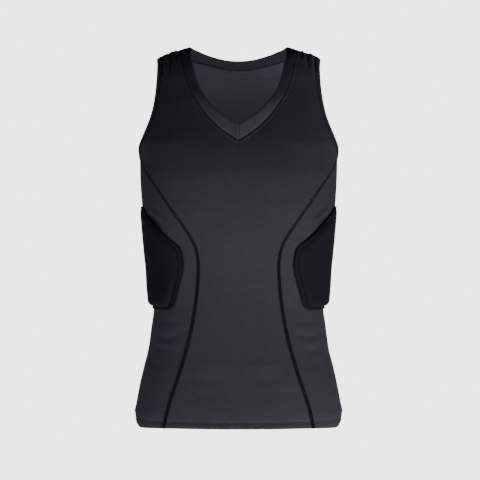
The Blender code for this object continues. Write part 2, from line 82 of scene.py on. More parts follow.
# level, half width, front depth, back depth, squareness
FORM_ROWS = (
    (-3, 72.0, 38, 48, 2.20),
    (1, 85.0, 42, 52, 2.20),
    (6, 101.5, 47, 56, 2.20),
    (11, 118.0, 51, 60, 2.25),
    (16.5, 135.0, 56, 65, 2.30),
    (21, 143.5, 59, 68, 2.30),
    (25, 147.3, 62, 71, 2.30),
    (33, 150.3, 66, 75, 2.35),
    (50, 154.5, 74, 83, 2.40),
    (80, 161.0, 83, 92, 2.45),
    (110, 168.5, 92, 99, 2.50),
    (140, 175.5, 101.5, 104, 2.50),
    (165, 180.3, 109.0, 107, 2.55),
    (180, 181.5, 113.0, 108, 2.60),
    (192, 178.8, 115.8, 108, 2.60),
    (206, 176.8, 118.3, 108, 2.60),
    (236, 176.3, 121.5, 106, 2.60),
    (280, 173.5, 118.5, 101, 2.60),
    (365, 165.6, 104.5, 91, 2.60),
    (420, 159.0, 96, 84, 2.60),
    (468, 152.0, 93, 81, 2.60),
    (500, 156.0, 93, 84, 2.60),
    (540, 161.5, 95, 90, 2.65),
    (580, 171.5, 99, 96, 2.70),
    (620, 180.0, 103, 100, 2.75),
    (642, 184.2, 105.5, 101.6, 2.72),
    (650, 186.4, 106, 102, 2.70),
    (657, 185.2, 106.5, 102, 2.70),
    (668, 184.2, 107, 102, 2.65),
    (674, 180.8, 107, 102, 2.65),
    (680, 176.5, 107, 102, 2.65),
)

# level, half width
ARMHOLE_EDGE = (
    (25, 147.3),
    (34, 145.5),
    (46, 144.9),
    (79, 146.2),
    (101, 148.7),
    (123, 152.9),
    (144, 160.0),
    (165, 169.3),
    (185, 177.6),
    (192, 178.8),
)
SIDE_SEAM = (
    (217, 168.8),
    (250, 146.8),
    (298, 113.5),
    (330, 90.8),
    (345, 81.5),
    (358, 75.0),
    (372, 71.0),
    (392, 69.2),
    (422, 70.5),
    (453, 73.5),
    (515, 84.5),
    (577, 101.8),
    (639, 122.0),
    (680, 131.5),
)
# level, width of the side seams' cover stitch
SEAM_WIDTHS = ((217, 3.6), (340, 4.4), (400, 5.6), (560, 6.2))
# share across the binding, lift off the form, width of the crossing threads
ARMHOLE_ROWS = ((0.45, 0.12, 0.8), (0.93, 0.3, 0.8), (1.3, 0.15, 1.7))
# levels of the hem's twin rows
HEM_ROWS = (659.6, 662.4)

# half width, level: down the front from the shoulder's last row back to centre front
NECK_EDGE_FRONT = (
    (0.0, 149.0),
    (15.6, 140.4),
    (32.1, 129.0),
    (46.0, 114.6),
    (58.6, 98.6),
    (68.5, 78.3),
    (76.4, 53.5),
    (81.7, 31.0),
    (84.0, 15.0),
    (85.0, 4.2),
)
NECK_EDGE_SHOULDER = 1.0
NECK_EDGE_BACK = (
    (79.5, 1.4),
    (70.6, 3.3),
    (56.3, 7.4),
    (41.7, 11.0),
    (26.9, 14.0),
    (12.2, 15.6),
    (0.0, 16.1),
)
NECK_SEAM_FRONT = (
    (0.0, 175.6),
    (18.3, 164.4),
    (34.7, 152.0),
    (51.4, 134.5),
    (65.4, 115.9),
    (76.7, 98.3),
    (86.7, 77.8),
    (94.0, 54.0),
    (98.2, 33.0),
    (101.0, 16.0),
    (101.9, 9.0),
)
NECK_SEAM_SHOULDER = 6.0
NECK_SEAM_BACK = (
    (100.3, 9.0),
    (95.0, 12.3),
    (86.0, 16.4),
    (72.8, 20.0),
    (56.7, 23.2),
    (37.5, 27.6),
    (19.6, 30.4),
    (0.0, 31.4),
)

# level, outer face, inner face, both measured from the form
HEM_PROFILE = (
    (640.0, 0.0, 1.4),
    (645.0, 0.0, 1.4),
    (650.0, 0.1, 1.4),
    (655.0, 0.2, 1.5),
    (658.8, 0.2, 1.8),
    (659.6, -0.4, 2.0),
    (661.0, -0.2, 2.0),
    (662.4, -0.3, 2.0),
    (664.0, 0.3, 2.0),
    (667.0, 1.0, 2.1),
    (669.5, 1.4, 2.1),
    (671.2, 1.1, 2.0),
    (672.0, 0.1, 1.6),
)
# share across, outer face, inner face
BINDING_PROFILE = (
    (0.0, -0.25, 0.75),
    (0.1, 0.35, 1.35),
    (0.3, 0.6, 1.6),
    (0.4, 0.35, 1.6),
    (0.45, 0.0, 1.6),
    (0.5, 0.35, 1.6),
    (0.65, 0.6, 1.6),
    (0.85, 0.5, 1.6),
    (1.0, -0.1, 1.4),
)
NECKBAND_PROFILE = (
    (0.0, -0.3, 0.7),
    (0.05, 0.3, 1.3),
    (0.14, 0.65, 1.6),
    (0.3, 0.75, 1.6),
    (0.5, 0.75, 1.6),
    (0.7, 0.75, 1.6),
    (0.84, 0.8, 1.6),
    (0.93, 0.5, 1.6),
    (1.0, 0.1, 1.4),
)

# reach from the side line, level, border width to the next corner, facets to the next corner,
# radius of the corner, facets round it
PAD_CORNERS = (
    (44, 287.5, 9.5, 18, 15.0, 5),
    (126, 361.0, 9.5, 2, 16.0, 5),
    (124.5, 394.0, 9.5, 11, 90.0, 10),
    (86, 470.0, 5.0, 36, 20.0, 6),
)
# border width and facets of the pad's top edge
PAD_TOP = (4.0, 16)
PAD_CLEAR = 1.2
# levels between which the foam grows to its full thickness
PAD_THICKENS = (392.0, 464.0)
# share of the border's width, lift off the border's wall
PAD_ROWS = ((0.3, 0.05), (1.0, -0.55))
# reach from the side line and level of both ends of the dense near-black cross stitches on the pads'
# slanting edges, a painted shadow where the cloth buckles over the border
PAINTED_SHADOW_STITCHES = ((54, 299.3), (108, 347.8))


class Side(Enum):
    """Which half of the shirt a piece belongs to, as the wearer has it."""

    LEFT = "left"
    RIGHT = "right"

    @property
    def mirrored(self) -> bool:
        """Say whether the piece is the mirror image of the one that is worked out."""
        return self is Side.RIGHT


class Fade(Enum):
    """How a crease dies away along its line."""

    BOTH_ENDS = "both ends"
    FAR_END = "far end"


def hermite(t: Array, step: Array, knots: tuple[Array, Array], turns: tuple[Array, Array]) -> Array:
    """Blend between two knots of a smooth curve.

    Args:
        t: the share of the way from one to the other.
        step: how far apart they are.
        knots: the curve's values at both.
        turns: its slopes at both.

    Returns:
        The values at those shares.
    """
    return (
        (2 * t**3 - 3 * t**2 + 1) * knots[0]
        + (t**3 - 2 * t**2 + t) * step * turns[0]
        + (3 * t**2 - 2 * t**3) * knots[1]
        + (t**3 - t**2) * step * turns[1]
    )


def unit_rows(vectors: Array) -> Array:
    """Scale each row to length 1."""
    return vectors / np.linalg.norm(vectors, axis=1)[:, None]


def read_rows(marks: Array, run: Array, rows: Array) -> Array:
    """Read a table of rows at places between them.

    Args:
        marks: where to read it.
        run: where its rows lie.
        rows: the rows.

    Returns:
        A row for each mark.
    """
    return np.column_stack([np.interp(marks, run, column) for column in rows.T])


def closed(ring: Array) -> Array:
    """Repeat a ring's first row at its end."""
    return np.vstack((ring, ring[:1]))


def half_flip(mirrored: bool) -> Array:
    """Give the factors that turn a point of the wearer's left half into the one that is asked for."""
    return np.array((-1 if mirrored else 1, 1, 1))


class SmoothCurve:
    """A smooth curve through a table's rows that never overshoots them."""

    def __init__(self, places: Array, values: Array) -> None:
        """Work out the curve's slopes at its rows.

        Args:
            places: where the rows lie, rising.
            values: the curve's values there.
        """
        self.places = np.asarray(places, float)
        self.values = np.asarray(values, float)
        self.steps = np.diff(self.places)
        slopes = np.diff(self.values) / self.steps
        self.turns = np.zeros(len(self.values))
        for k in range(1, len(slopes)):
            before, after = slopes[k - 1], slopes[k]
            if before * after > 0:
                near = 2 * self.steps[k] + self.steps[k - 1]
                far = self.steps[k] + 2 * self.steps[k - 1]
                self.turns[k] = (near + far) / (near / before + far / after)
        self.turns[0], self.turns[-1] = slopes[0], slopes[-1]

    def at(self, place: Array) -> Array:
        """Read the curve.

        Args:
            place: one place or many.

        Returns:
            The values there.
        """
        k = np.clip(np.searchsorted(self.places, place) - 1, 0, len(self.steps) - 1)
        step = self.steps[k]
        t = (place - self.places[k]) / step
        return hermite(t, step, (self.values[k], self.values[k + 1]), (self.turns[k], self.turns[k + 1]))


def lengths_along(points: Array) -> Array:
    """Add up the distances along a line of points.

    Args:
        points: the line's points, one in each row.

    Returns:
        The distance of each point from the first.
    """
    steps = np.linalg.norm(np.diff(points, axis=0), axis=1)
    return np.concatenate(([0.0], np.cumsum(steps)))


class WornForm:
    """The shirt's filled-out form, and how the cloth's places map on to it."""

    def __init__(self) -> None:
        """Lay the section curves and measure the cloth's girth from centre front."""
        columns = list(zip(*FORM_ROWS))
        self.curves = [SmoothCurve(columns[0], column) for column in columns[1:]]
        self.girth_levels = np.arange(-4.0, 679.0, LEVEL_STEP)
        self.girth_angles = np.linspace(0, 180, round(180 / ANGLE_STEP) + 1)
        self.girth = np.array([self.level_run(level) for level in self.girth_levels])

    def level_run(self, level: float) -> Array:
        """Measure level from centre front to each of the girth's angles."""
        levels = np.full_like(self.girth_angles, level)
        return lengths_along(self.points(np.column_stack((self.girth_angles, levels))))

    def points(self, places: Array) -> Array:
        """Turn places into points.

        Args:
            places: an angle and a level in each row.

        Returns:
            A point in each row, in millimetres, with height 0 at level 0.
        """
        angle, level = np.asarray(places, float).T
        turn = np.radians(angle)
        share = np.maximum(0.0, (level - SKIRT_LEVEL) / (HEM_LEVEL - SKIRT_LEVEL))
        drop = level + HEM_DIP * share**2 * np.sin(turn) ** 4
        width, front, back, power = (curve.at(drop) for curve in self.curves)
        x = width * np.abs(np.sin(turn)) ** (2 / power)
        y = np.abs(np.cos(turn)) ** (2 / power)
        return np.column_stack((x, np.where(angle < 90, -front * y, back * y), -drop))

    def beyond(self, points: Array) -> Array:
        """Say how far outside the form points lie.

        Args:
            points: a point in each row.

        Returns:
            0 for a point on the form, below 0 for one within it.
        """
        width, front, back, power = (curve.at(-points[:, 2]) for curve in self.curves)
        depth = np.where(points[:, 1] < 0, front, back)
        return (np.abs(points[:, 0]) / width) ** power + (np.abs(points[:, 1]) / depth) ** power - 1

    def gradient(self, points: Array) -> Array:
        """Give the gradient of beyond().

        Args:
            points: a point in each row.

        Returns:
            The gradient at each.
        """
        probe = 0.05
        change = []
        for axis in np.eye(3):
            rise = self.beyond(points + probe * axis) - self.beyond(points - probe * axis)
            change.append(rise / (2 * probe))
        return np.column_stack(change)

    def outward(self, points: Array) -> Array:
        """Give the form's outward normals at points near it."""
        return unit_rows(self.gradient(points))

    def settle(self, points: Array) -> Array:
        """Bring points that lie near the form on to it.

        Args:
            points: a point in each row.

        Returns:
            The same points moved square to the form.
        """
        for _ in range(4):
            gradient = self.gradient(points)
            points = points - gradient * (self.beyond(points) / (gradient**2).sum(1))[:, None]
        return points

    def place_of(self, points: Array) -> Array:
        """Give the places of points of the form above the yoke level.

        Args:
            points: a point in each row.

        Returns:
            An angle and a level in each row.
        """
        level = -points[:, 2]
        width, front, back, power = (curve.at(level) for curve in self.curves)
        depth = np.where(points[:, 1] < 0, front, back)
        sideways = (np.abs(points[:, 0]) / width) ** (power / 2)
        endways = (np.abs(points[:, 1]) / depth) ** (power / 2)
        angle = np.degrees(np.arctan2(sideways, endways))
        return np.column_stack((np.where(points[:, 1] < 0, angle, 180 - angle), level))

    def place_at(self, half_width: Array, level: Array, behind: bool) -> Array:
        """Give places by their distance from the centre.

        Args:
            half_width: how far the places lie from the centre front or back.
            level: their levels.
            behind: whether they lie on the back.

        Returns:
            An angle and a level in each row.
        """
        half_width, level = np.broadcast_arrays(np.asarray(half_width, float), np.asarray(level, float))
        width, power = self.curves[0].at(level), self.curves[3].at(level)
        angle = np.degrees(np.arcsin(np.minimum(1.0, half_width / width) ** (power / 2)))
        return np.column_stack((180 - angle if behind else angle, level))

    def girth_at(self, places: Array) -> Array:
        """Measure the cloth level from centre front to each place.

        Args:
            places: an angle and a level in each row.

        Returns:
            The lengths.
        """
        angle, level = places.T
        row = np.clip((level - self.girth_levels[0]) / LEVEL_STEP, 0, len(self.girth_levels) - 1.001)
        column = np.clip(angle / ANGLE_STEP, 0, len(self.girth_angles) - 1.001)
        r, c = row.astype(int), column.astype(int)
        down, along = row - r, column - c
        upper = self.girth[r, c] * (1 - along) + self.girth[r, c + 1] * along
        lower = self.girth[r + 1, c] * (1 - along) + self.girth[r + 1, c + 1] * along
        return upper * (1 - down) + lower * down

    def round_the_side(self, reach: Array, level: Array) -> Array:
        """Give the places that lie a length of cloth in front of (below 0, behind) the side line.

        Args:
            reach: the lengths.
            level: the levels.

        Returns:
            An angle and a level in each row.
        """
        places = []
        for length, height in zip(reach, level):
            run = self.level_run(height)
            side = np.interp(90.0, self.girth_angles, run)
            places.append((np.interp(side - length, run, self.girth_angles), height))
        return np.array(places)

    def divide(self, places: Array, count: int, near: int = 0, far: int = 0) -> Array:
        """Divide a line of places into lengths of cloth.

        Args:
            places: the line.
            count: how many lengths.
            near: how many of them are only a millimetre long at the start.
            far: the same at the end.

        Returns:
            The places between them, the two ends included.
        """
        run = lengths_along(self.points(places))
        step = min(1.0, run[-1] / count)
        low, high = near * step, run[-1] - far * step
        middle = np.linspace(low, high, count - near - far + 1)
        marks = np.concatenate((np.arange(near) * step, middle, high + np.arange(1, far + 1) * step))
        return read_rows(marks, run, places)

    def across(self, start: Array, end: Array, count: int, near: int = 0, far: int = 0) -> Array:
        """Give a row of places from one place to another.

        Args:
            start: the first place.
            end: the last place.
            count: how many lengths of cloth lie between them.
            near: how many of them are only a millimetre long at the start.
            far: the same at the end.

        Returns:
            The places.
        """
        shares = np.linspace(0, 1, 61)[:, None]
        return self.divide(np.asarray(start) * (1 - shares) + np.asarray(end) * shares, count, near, far)


@dataclass(frozen=True)
class Crease:
    """A soft trough or ridge along a short line on the cloth."""

    line: tuple[tuple[float, float], ...]
    width: float
    height: float
    behind: bool = False
    fade: Fade = Fade.BOTH_ENDS

    def path(self, form: WornForm) -> Array:
        """Lay the crease's line on the form.

        Args:
            form: the worn form.

        Returns:
            The line's points.
        """
        spots = np.array(self.line, float)
        points = form.points(form.place_at(np.abs(spots[:, 0]), spots[:, 1], self.behind))
        points[:, 0] *= np.where(spots[:, 0] < 0, -1, 1)
        return points


def both_sides(*creases: Crease) -> tuple[Crease, ...]:
    """Give creases and uneven copies of them on the other half of the shirt.

    Args:
        creases: the creases of the wearer's left half.

    Returns:
        Those and their copies, which are a little shifted, wider and shallower.
    """
    copies = []
    for number, crease in enumerate(creases):
        shift = (1.5, -2.5, 3.0, -1.0)[number % 4]
        line = tuple((-x + shift, level + 1.5 * shift) for x, level in crease.line)
        size = (0.85, 1.15, 0.95, 1.05)[number % 4]
        copies.append(Crease(line, crease.width * size, crease.height / size, crease.behind, crease.fade))
    return (*creases, *copies)


# x and level of each crease's line in millimetres, its half width and its height
CREASES = (
    # puckers where the shoulder seam gathers the cloth
    *both_sides(
        Crease(((135, 17), (136.5, 28), (136.6, 44), (137, 66)), 2.1, -4.6, False, Fade.FAR_END),
        Crease(((129, 15), (129, 33), (129.3, 48), (129, 62)), 2.2, 2.0, False, Fade.FAR_END),
        Crease(((120, 12), (121, 26), (122.6, 38), (123, 52)), 2.2, -4.8, False, Fade.FAR_END),
        Crease(((114, 11), (115, 24), (116, 36)), 2.2, 2.0, False, Fade.FAR_END),
        Crease(((108, 9), (108.6, 17), (109.5, 29)), 1.9, -3.8, False, Fade.FAR_END),
        Crease(((141, 21), (142, 31), (141, 43)), 2.0, -1.2, False, Fade.FAR_END),
        Crease(((126, 16), (126, 27), (129, 44)), 2.4, -3.6, True, Fade.FAR_END),
        Crease(((110, 10), (110, 22), (111, 31)), 2.2, -3.2, True, Fade.FAR_END),
        Crease(((118, 14), (119, 26), (119, 36)), 2.8, 1.6, True, Fade.FAR_END),
    ),
    # the cloth buckles above the pads' slanting edge
    *both_sides(
        Crease(((161, 297), (153, 304), (144, 313), (134, 324)), 3.4, -3.6, False),
        Crease(((156, 291), (147, 301), (138, 311), (130, 320)), 3.6, 3.2, False),
        Crease(((150, 284), (139, 297), (128, 309)), 4.0, -1.4, False),
        Crease(((127, 328), (121, 334), (114, 341)), 3.0, 1.3, False),
        Crease(((116, 333), (108, 343), (97, 347), (88, 344)), 3.0, -1.1, False),
        Crease(((108, 349), (99, 350), (90, 352)), 3.5, 0.9, False),
        Crease(((158, 299), (149, 311), (140, 323)), 3.4, -2.8, True),
        Crease(((154, 291), (145, 302), (134, 315)), 5.2, 2.0, True),
        Crease(((118, 345), (108, 345), (97, 340)), 3.8, 0.8, True),
    ),
    # faint level wrinkles under the chest and over the waist
    *both_sides(
        Crease(((22, 306), (48, 303), (80, 309)), 4.5, -0.5),
        Crease(((18, 317), (45, 319), (62, 316)), 3.5, -0.4),
        Crease(((8, 431), (34, 436), (61, 430)), 6.0, -0.5),
        Crease(((92, 487), (118, 493), (141, 488)), 5.0, -1.0),
        Crease(((96, 508), (125, 517), (149, 509)), 4.5, -1.1),
        Crease(((104, 534), (128, 541), (156, 529)), 5.0, -1.1),
        Crease(((100, 521), (126, 529), (154, 519)), 4.5, 0.8),
        Crease(((112, 561), (137, 566), (160, 556)), 7.0, -0.5),
        Crease(((12, 583), (50, 590), (96, 580)), 8.0, -0.7),
        Crease(((4, 567), (34, 563), (72, 568)), 6.0, 0.7),
        Crease(((30, 612), (64, 609), (101, 617)), 7.0, -0.4),
        Crease(((30, 463), (52, 459), (70, 465)), 5.0, 0.4),
        Crease(((150, 236), (140, 252), (134, 272)), 6.0, -0.6),
        Crease(((168, 206), (157, 216), (143, 222)), 5.0, -0.8, False, Fade.FAR_END),
    ),
    # the back's own wrinkles
    *both_sides(
        Crease(((20, 372), (52, 380), (88, 371)), 7.0, -0.9, True),
        Crease(((14, 398), (48, 393), (84, 402)), 5.5, -0.8, True),
        Crease(((26, 420), (60, 427), (96, 419)), 6.5, -1.0, True),
        Crease(((34, 448), (70, 444), (101, 453)), 6.0, -0.8, True),
        Crease(((60, 478), (94, 486), (132, 478)), 6.0, -0.9, True),
        Crease(((90, 503), (121, 511), (147, 503)), 5.0, -0.8, True),
        Crease(((16, 110), (44, 128), (60, 156)), 9.0, -0.6, True),
        Crease(((166, 204), (150, 214), (134, 218)), 5.0, -0.9, True, Fade.FAR_END),
        Crease(((10, 520), (42, 526), (80, 518)), 8.0, -0.5, True),
        Crease(((24, 596), (66, 603), (112, 592)), 8.0, -0.5, True),
    ),
    # below the point of the V
    Crease(((0, 176), (0.5, 183), (0, 190)), 1.8, -0.9, False, Fade.FAR_END),
    Crease(((5, 176), (9, 184), (12, 194)), 3.0, 0.6, False, Fade.FAR_END),
    Crease(((-5, 176), (-8, 185), (-13, 193)), 3.0, 0.6, False, Fade.FAR_END),
)


class Relief:
    """How far the cloth stands off the worn form: creases, seam puckers and a slight unevenness."""

    unevenness = 0.16
    pucker_reach = 12

    def __init__(self, form: WornForm) -> None:
        """Lay every crease on the form.

        Args:
            form: the worn form.
        """
        self.paths = [(crease, crease.path(form)) for crease in CREASES]
        self.ripples = np.random.default_rng(11).normal(size=(14, 3)) / np.linspace(16, 42, 14)[:, None]
        self.phases = np.random.default_rng(12).uniform(0, 2 * math.pi, 14)
        self.seams: list[tuple[Array, float]] = []

    def gather_along(self, path: Array, height: float) -> None:
        """Let a seam gather the cloth beside it into small uneven puckers.

        Args:
            path: the seam's points.
            height: how high the puckers stand.
        """
        self.seams.append((path, height))

    def at(self, points: Array) -> Array:
        """Read the relief.

        Args:
            points: a point of the form in each row.

        Returns:
            The distances outwards.
        """
        ripples = np.sin(points @ self.ripples.T * 2 + self.phases).sum(1)
        rise = self.unevenness * ripples / math.sqrt(len(self.phases))
        for crease, path in self.paths:
            near = box_round(path, points, 3 * crease.width)
            if near.any():
                gap, share = distance_to(points[near], path)
                end = share if crease.fade is Fade.BOTH_ENDS else 0.5 + share / 2
                swell = np.sin(np.pi * np.clip(end, 0, 1)) ** 0.8
                rise[near] += crease.height * swell * np.exp(-((gap / crease.width) ** 2))
        for path, height in self.seams:
            near = box_round(path, points, self.pucker_reach)
            if near.any():
                gap, share = distance_to(points[near], path)
                run = share * lengths_along(path)[-1]
                wave = np.sin(run / 1.9 + 2.1 * np.sin(run / 13)) * (0.6 + 0.4 * np.sin(run / 31 + 1))
                rise[near] += height * wave * np.exp(-((gap - 3.5) / 2.6) ** 2)
        return rise


def box_round(path: Array, points: Array, reach: float) -> Array:
    """Say which points lie in the box round a line, widened by a reach."""
    return np.all((points > path.min(0) - reach) & (points < path.max(0) + reach), axis=1)


def distance_to(points: Array, path: Array) -> tuple[Array, Array]:
    """Measure how far points lie from a line.

    Args:
        points: a point in each row.
        path: the line's points.

    Returns:
        The distances, and the share of the line at which each nearest point lies.
    """
    run = lengths_along(path)
    best = np.full(len(points), np.inf)
    share = np.zeros(len(points))
    for k in range(len(path) - 1):
        along = path[k + 1] - path[k]
        t = np.clip((points - path[k]) @ along / (along @ along), 0, 1)
        gap = np.linalg.norm(points - path[k] - t[:, None] * along, axis=1)
        closer = gap < best
        best[closer] = gap[closer]
        share[closer] = (run[k] + t[closer] * (run[k + 1] - run[k])) / run[-1]
    return best, share


@dataclass
class SeamLines:
    """The lines along which the pieces meet, at the scene's own fineness."""

    form: WornForm
    yoke_rows: int = 84
    seam_top_rows: int = 20
    neck_front_rows: int = 66
    neck_back_rows: int = 32
    body_rows: int = 104
    side_columns: int = 56
    ring: int = 480
    levels: Array = field(init=False)
    neck_edge: tuple[Array, Array] = field(init=False)
    neck_seam: tuple[Array, Array] = field(init=False)
    armhole_edge: list[Array] = field(init=False)
    armhole_seam: list[Array] = field(init=False)
    front_seam: Array = field(init=False)
    back_seam: Array = field(init=False)

    def __post_init__(self) -> None:
        """Work out every line."""
        plain = np.linspace(YOKE_LEVEL, SKIRT_LEVEL, self.body_rows + 1)[1:]
        self.levels = np.concatenate((plain, [row[0] for row in HEM_PROFILE[1:]]))
        self.neck_edge = self.neck_line(NECK_EDGE_FRONT, NECK_EDGE_SHOULDER, NECK_EDGE_BACK)
        self.neck_seam = self.neck_line(NECK_SEAM_FRONT, NECK_SEAM_SHOULDER, NECK_SEAM_BACK)
        self.armhole_edge, self.armhole_seam = self.armhole_lines()
        self.front_seam = self.side_seam(self.armhole_seam[0][-1])
        self.back_seam = self.side_seam(self.armhole_seam[2][0])

    def neck_line(self, front: tuple, shoulder: float, back: tuple) -> tuple[Array, Array]:
        """Run a smooth line of places round half of the neck.

        Args:
            front: half widths and levels from centre front up to the shoulder.
            shoulder: the level on the shoulder.
            back: half widths and levels from the shoulder to centre back.

        Returns:
            The line from the shoulder down to centre front, and the one to centre back.
        """
        ahead = self.form.place_at(*np.array(front, float).T, False)
        behind = self.form.place_at(*np.array(back, float).T, True)
        knots = np.vstack((ahead, [(90.0, shoulder)], behind))
        steps = np.sqrt(np.linalg.norm(np.diff(knots, axis=0), axis=1))
        slopes = np.diff(knots, axis=0) / steps[:, None]
        turns = np.zeros_like(knots)
        before, after = steps[:-1, None], steps[1:, None]
        turns[0] = slopes[0]
        turns[1:-1] = (slopes[:-1] * after + slopes[1:] * before) / (before + after)
        turns[-1] = (slopes[-1][0], 0.0)
        fineness = 24
        line = []
        for k, step in enumerate(steps):
            t = np.linspace(0, 1, fineness, endpoint=False)[:, None]
            line.append(hermite(t, step, (knots[k], knots[k + 1]), (turns[k], turns[k + 1])))
        places = np.vstack((*line, knots[-1:]))
        top = len(front) * fineness
        ahead = self.form.divide(places[: top + 1], self.neck_front_rows, near=6)
        return ahead[::-1], self.form.divide(places[top:], self.neck_back_rows)

    def armhole_lines(self) -> tuple[list[Array], list[Array]]:
        """Run the armhole's edge and seam round the arm.

        Returns:
            The edge and the seam, each as the front panel's, side panel's and back panel's stretch.
        """
        outline = SmoothCurve(*zip(*ARMHOLE_EDGE))
        shares = np.linspace(0, 1, self.ring // 2 + 1)
        shares = shares**3 * (10 - 15 * shares + 6 * shares**2)
        levels = outline.places[0] + (outline.places[-1] - outline.places[0]) * shares
        front = self.form.place_at(outline.at(levels), levels, False)
        back = self.form.place_at(outline.at(levels), levels, True)
        edge = self.form.points(np.vstack((front[:-1], back[::-1][:-1])))
        edge[0][1] = 0.0
        edge[self.ring // 2][1] = 0.0
        run = lengths_along(closed(edge))
        marks = np.linspace(0, run[-1], self.ring + 1)[:-1]
        edge = self.form.settle(read_rows(marks, run, closed(edge)))
        forward = unit_rows(np.roll(edge, -1, axis=0) - np.roll(edge, 1, axis=0))
        seam = self.form.settle(edge + BINDING_WIDTH * np.cross(forward, self.form.outward(edge)))
        low = int(np.argmin(seam[:, 2]))
        corner_front = low - int(np.argmax(seam[low::-1, 1] < -SIDE_PANEL_TOP))
        corner_back = low + int(np.argmax(seam[low:, 1] > SIDE_PANEL_TOP))
        straps = self.yoke_rows - self.seam_top_rows
        stops = (
            (0, corner_front, straps),
            (corner_front, corner_back, self.side_columns),
            (corner_back, self.ring, straps),
        )
        lines = []
        for ring in (edge, seam):
            stretches = []
            for start, end, count in stops:
                picks = np.linspace(start, end, count + 1)
                spots = read_rows(picks, np.arange(self.ring + 1), closed(ring))
                stretches.append(self.form.place_of(self.form.settle(spots)))
            lines.append(stretches)
        return lines[0], lines[1]

    def side_seam(self, corner: Array) -> Array:
        """Run a side seam from the armhole's corner to the hem.

        Args:
            corner: the place of the corner.

        Returns:
            The seam's places.
        """
        behind = bool(corner[0] > 90)
        levels, widths = zip(*SIDE_SEAM)
        start = self.form.points(corner[None])[0][0]
        line = SmoothCurve((corner[1], *levels), (start, *widths))
        below = np.linspace(corner[1], YOKE_LEVEL, self.seam_top_rows + 1)[1:]
        heights = np.concatenate((below, self.levels))
        return np.vstack((corner, self.form.place_at(line.at(heights), heights, behind)))

    def neck_rings(self) -> tuple[Array, Array]:
        """Run the neck's lines round half of the neck.

        Returns:
            The places of the edge and of the seam, from centre front to centre back.
        """
        lines = (self.neck_edge, self.neck_seam)
        rings = [np.vstack((ahead[::-1], behind[1:])) for ahead, behind in lines]
        return rings[0], rings[1]

    def armhole_rings(self) -> tuple[Array, Array]:
        """Run the armhole's lines once round the arm.

        Returns:
            The places of the edge and of the seam, the first one not repeated.
        """
        lines = (self.armhole_edge, self.armhole_seam)
        rings = [np.vstack([stretch[:-1] for stretch in line]) for line in lines]
        return rings[0], rings[1]


class Cloth:
    """A piece of cloth under the needle: its places, how thick it is, and its facets."""

    def __init__(self, form: WornForm, relief: Relief) -> None:
        """Start an empty piece.

        Args:
            form: the worn form it lies on.
            relief: how the cloth stands off the form.
        """
        self.form = form
        self.relief = relief
        self.count = 0
        self.blocks: list[tuple[Array, ...]] = []
        self.facets: list[Array] = []

    def add(
        self,
        places: Array,
        outside: Array | float,
        inside: Array | float,
        grain: Array,
        mirrored: bool = False,
        tone_and_painted_shading: Array | float = 0.0,
    ) -> Array:
        """Add points.

        Args:
            places: an angle and a level in each row.
            outside: how far the outer face lies outside the form.
            inside: how far the inner face lies within it.
            grain: each point's place in the knit, along the courses and the wales.
            mirrored: whether the points belong to the wearer's right half.
            tone_and_painted_shading: how far the outer face's colour has moved to that of the cloth's
                wrong side; on the neckband this is painted shade away from the V.

        Returns:
            The new points' numbers.
        """
        count = len(places)
        points = self.form.points(places)
        points[np.isin(places[:, 0], (0.0, 180.0)), 0] = 0.0
        normals = self.form.outward(points)
        flip = half_flip(mirrored)
        points, normals, grain = points * flip, normals * flip, grain * flip[:2]
        sizes = np.column_stack([np.broadcast_to(size, count) for size in (outside, inside, tone_and_painted_shading)])
        self.blocks.append((points, normals, sizes, grain))
        self.count += count
        return np.arange(self.count - count, self.count)

    def span(self, first: Array, second: Array, turned: bool = False) -> None:
        """Join two rows of points with facets.

        Args:
            first: the first row's numbers.
            second: the second row's.
            turned: whether the facets are wound the other way.
        """
        quads = np.column_stack((first[:-1], first[1:], second[1:], second[:-1]))
        self.facets.append(quads[:, ::-1] if turned else quads)

    def border(self, facets: Array) -> Array:
        """Find the edges that only one facet has.

        Args:
            facets: the corners of every facet.

        Returns:
            The edges' ends, in the facets' order.
        """
        starts = facets.ravel()
        ends = np.roll(facets, -1, axis=1).ravel()
        keys = np.minimum(starts, ends) * self.count + np.maximum(starts, ends)
        _, where, uses = np.unique(keys, return_index=True, return_counts=True)
        single = where[uses == 1]
        return np.column_stack((starts[single], ends[single]))

    def sew(self, name: str) -> bpy.types.Object:
        """Make the piece a thin closed wall.

        Args:
            name: the object's name.

        Returns:
            The object.
        """
        points, normals, sizes, grain = (np.vstack(column) for column in zip(*self.blocks))
        facets = np.vstack(self.facets)
        edges = self.border(facets)
        after = dict(map(tuple, edges))
        before = {end: start for start, end in after.items()}
        drawn = points.copy()
        for k, following in after.items():
            sides = []
            for start, end in ((before[k], k), (k, following)):
                side = np.cross(normals[k], points[end] - points[start])
                sides.append(side / np.linalg.norm(side))
            mitre = (sides[0] + sides[1]) / max(MITRE_LIMIT, 1 + sides[0] @ sides[1])
            drawn[k] = points[k] + mitre * SEAM_GAP / 2
        drawn += normals * self.relief.at(points)[:, None]
        walls = np.vstack((drawn + normals * sizes[:, :1], drawn - normals * sizes[:, 1:2]))
        rims = np.column_stack((edges[:, ::-1], edges + self.count))
        quads = np.vstack((facets, facets[:, ::-1] + self.count, rims))
        piece = add_mesh(name, walls, quads.tolist(), np.vstack((grain, grain)))
        mark_reverse_and_painted_shading(piece, np.concatenate((sizes[:, 2], np.ones(self.count))))
        return piece


def mark_reverse_and_painted_shading(piece: bpy.types.Object, shares: Array) -> None:
    """Write how far each point's colour moves to that of the cloth's wrong side; on the neckband's outer
    face and the pads' borders this share is painted shade.
    """
    reverse_and_painted_shading = piece.data.attributes.new("reverse_and_painted_shading", "FLOAT", "POINT")
    reverse_and_painted_shading.data.foreach_set("value", shares.astype(np.float32))


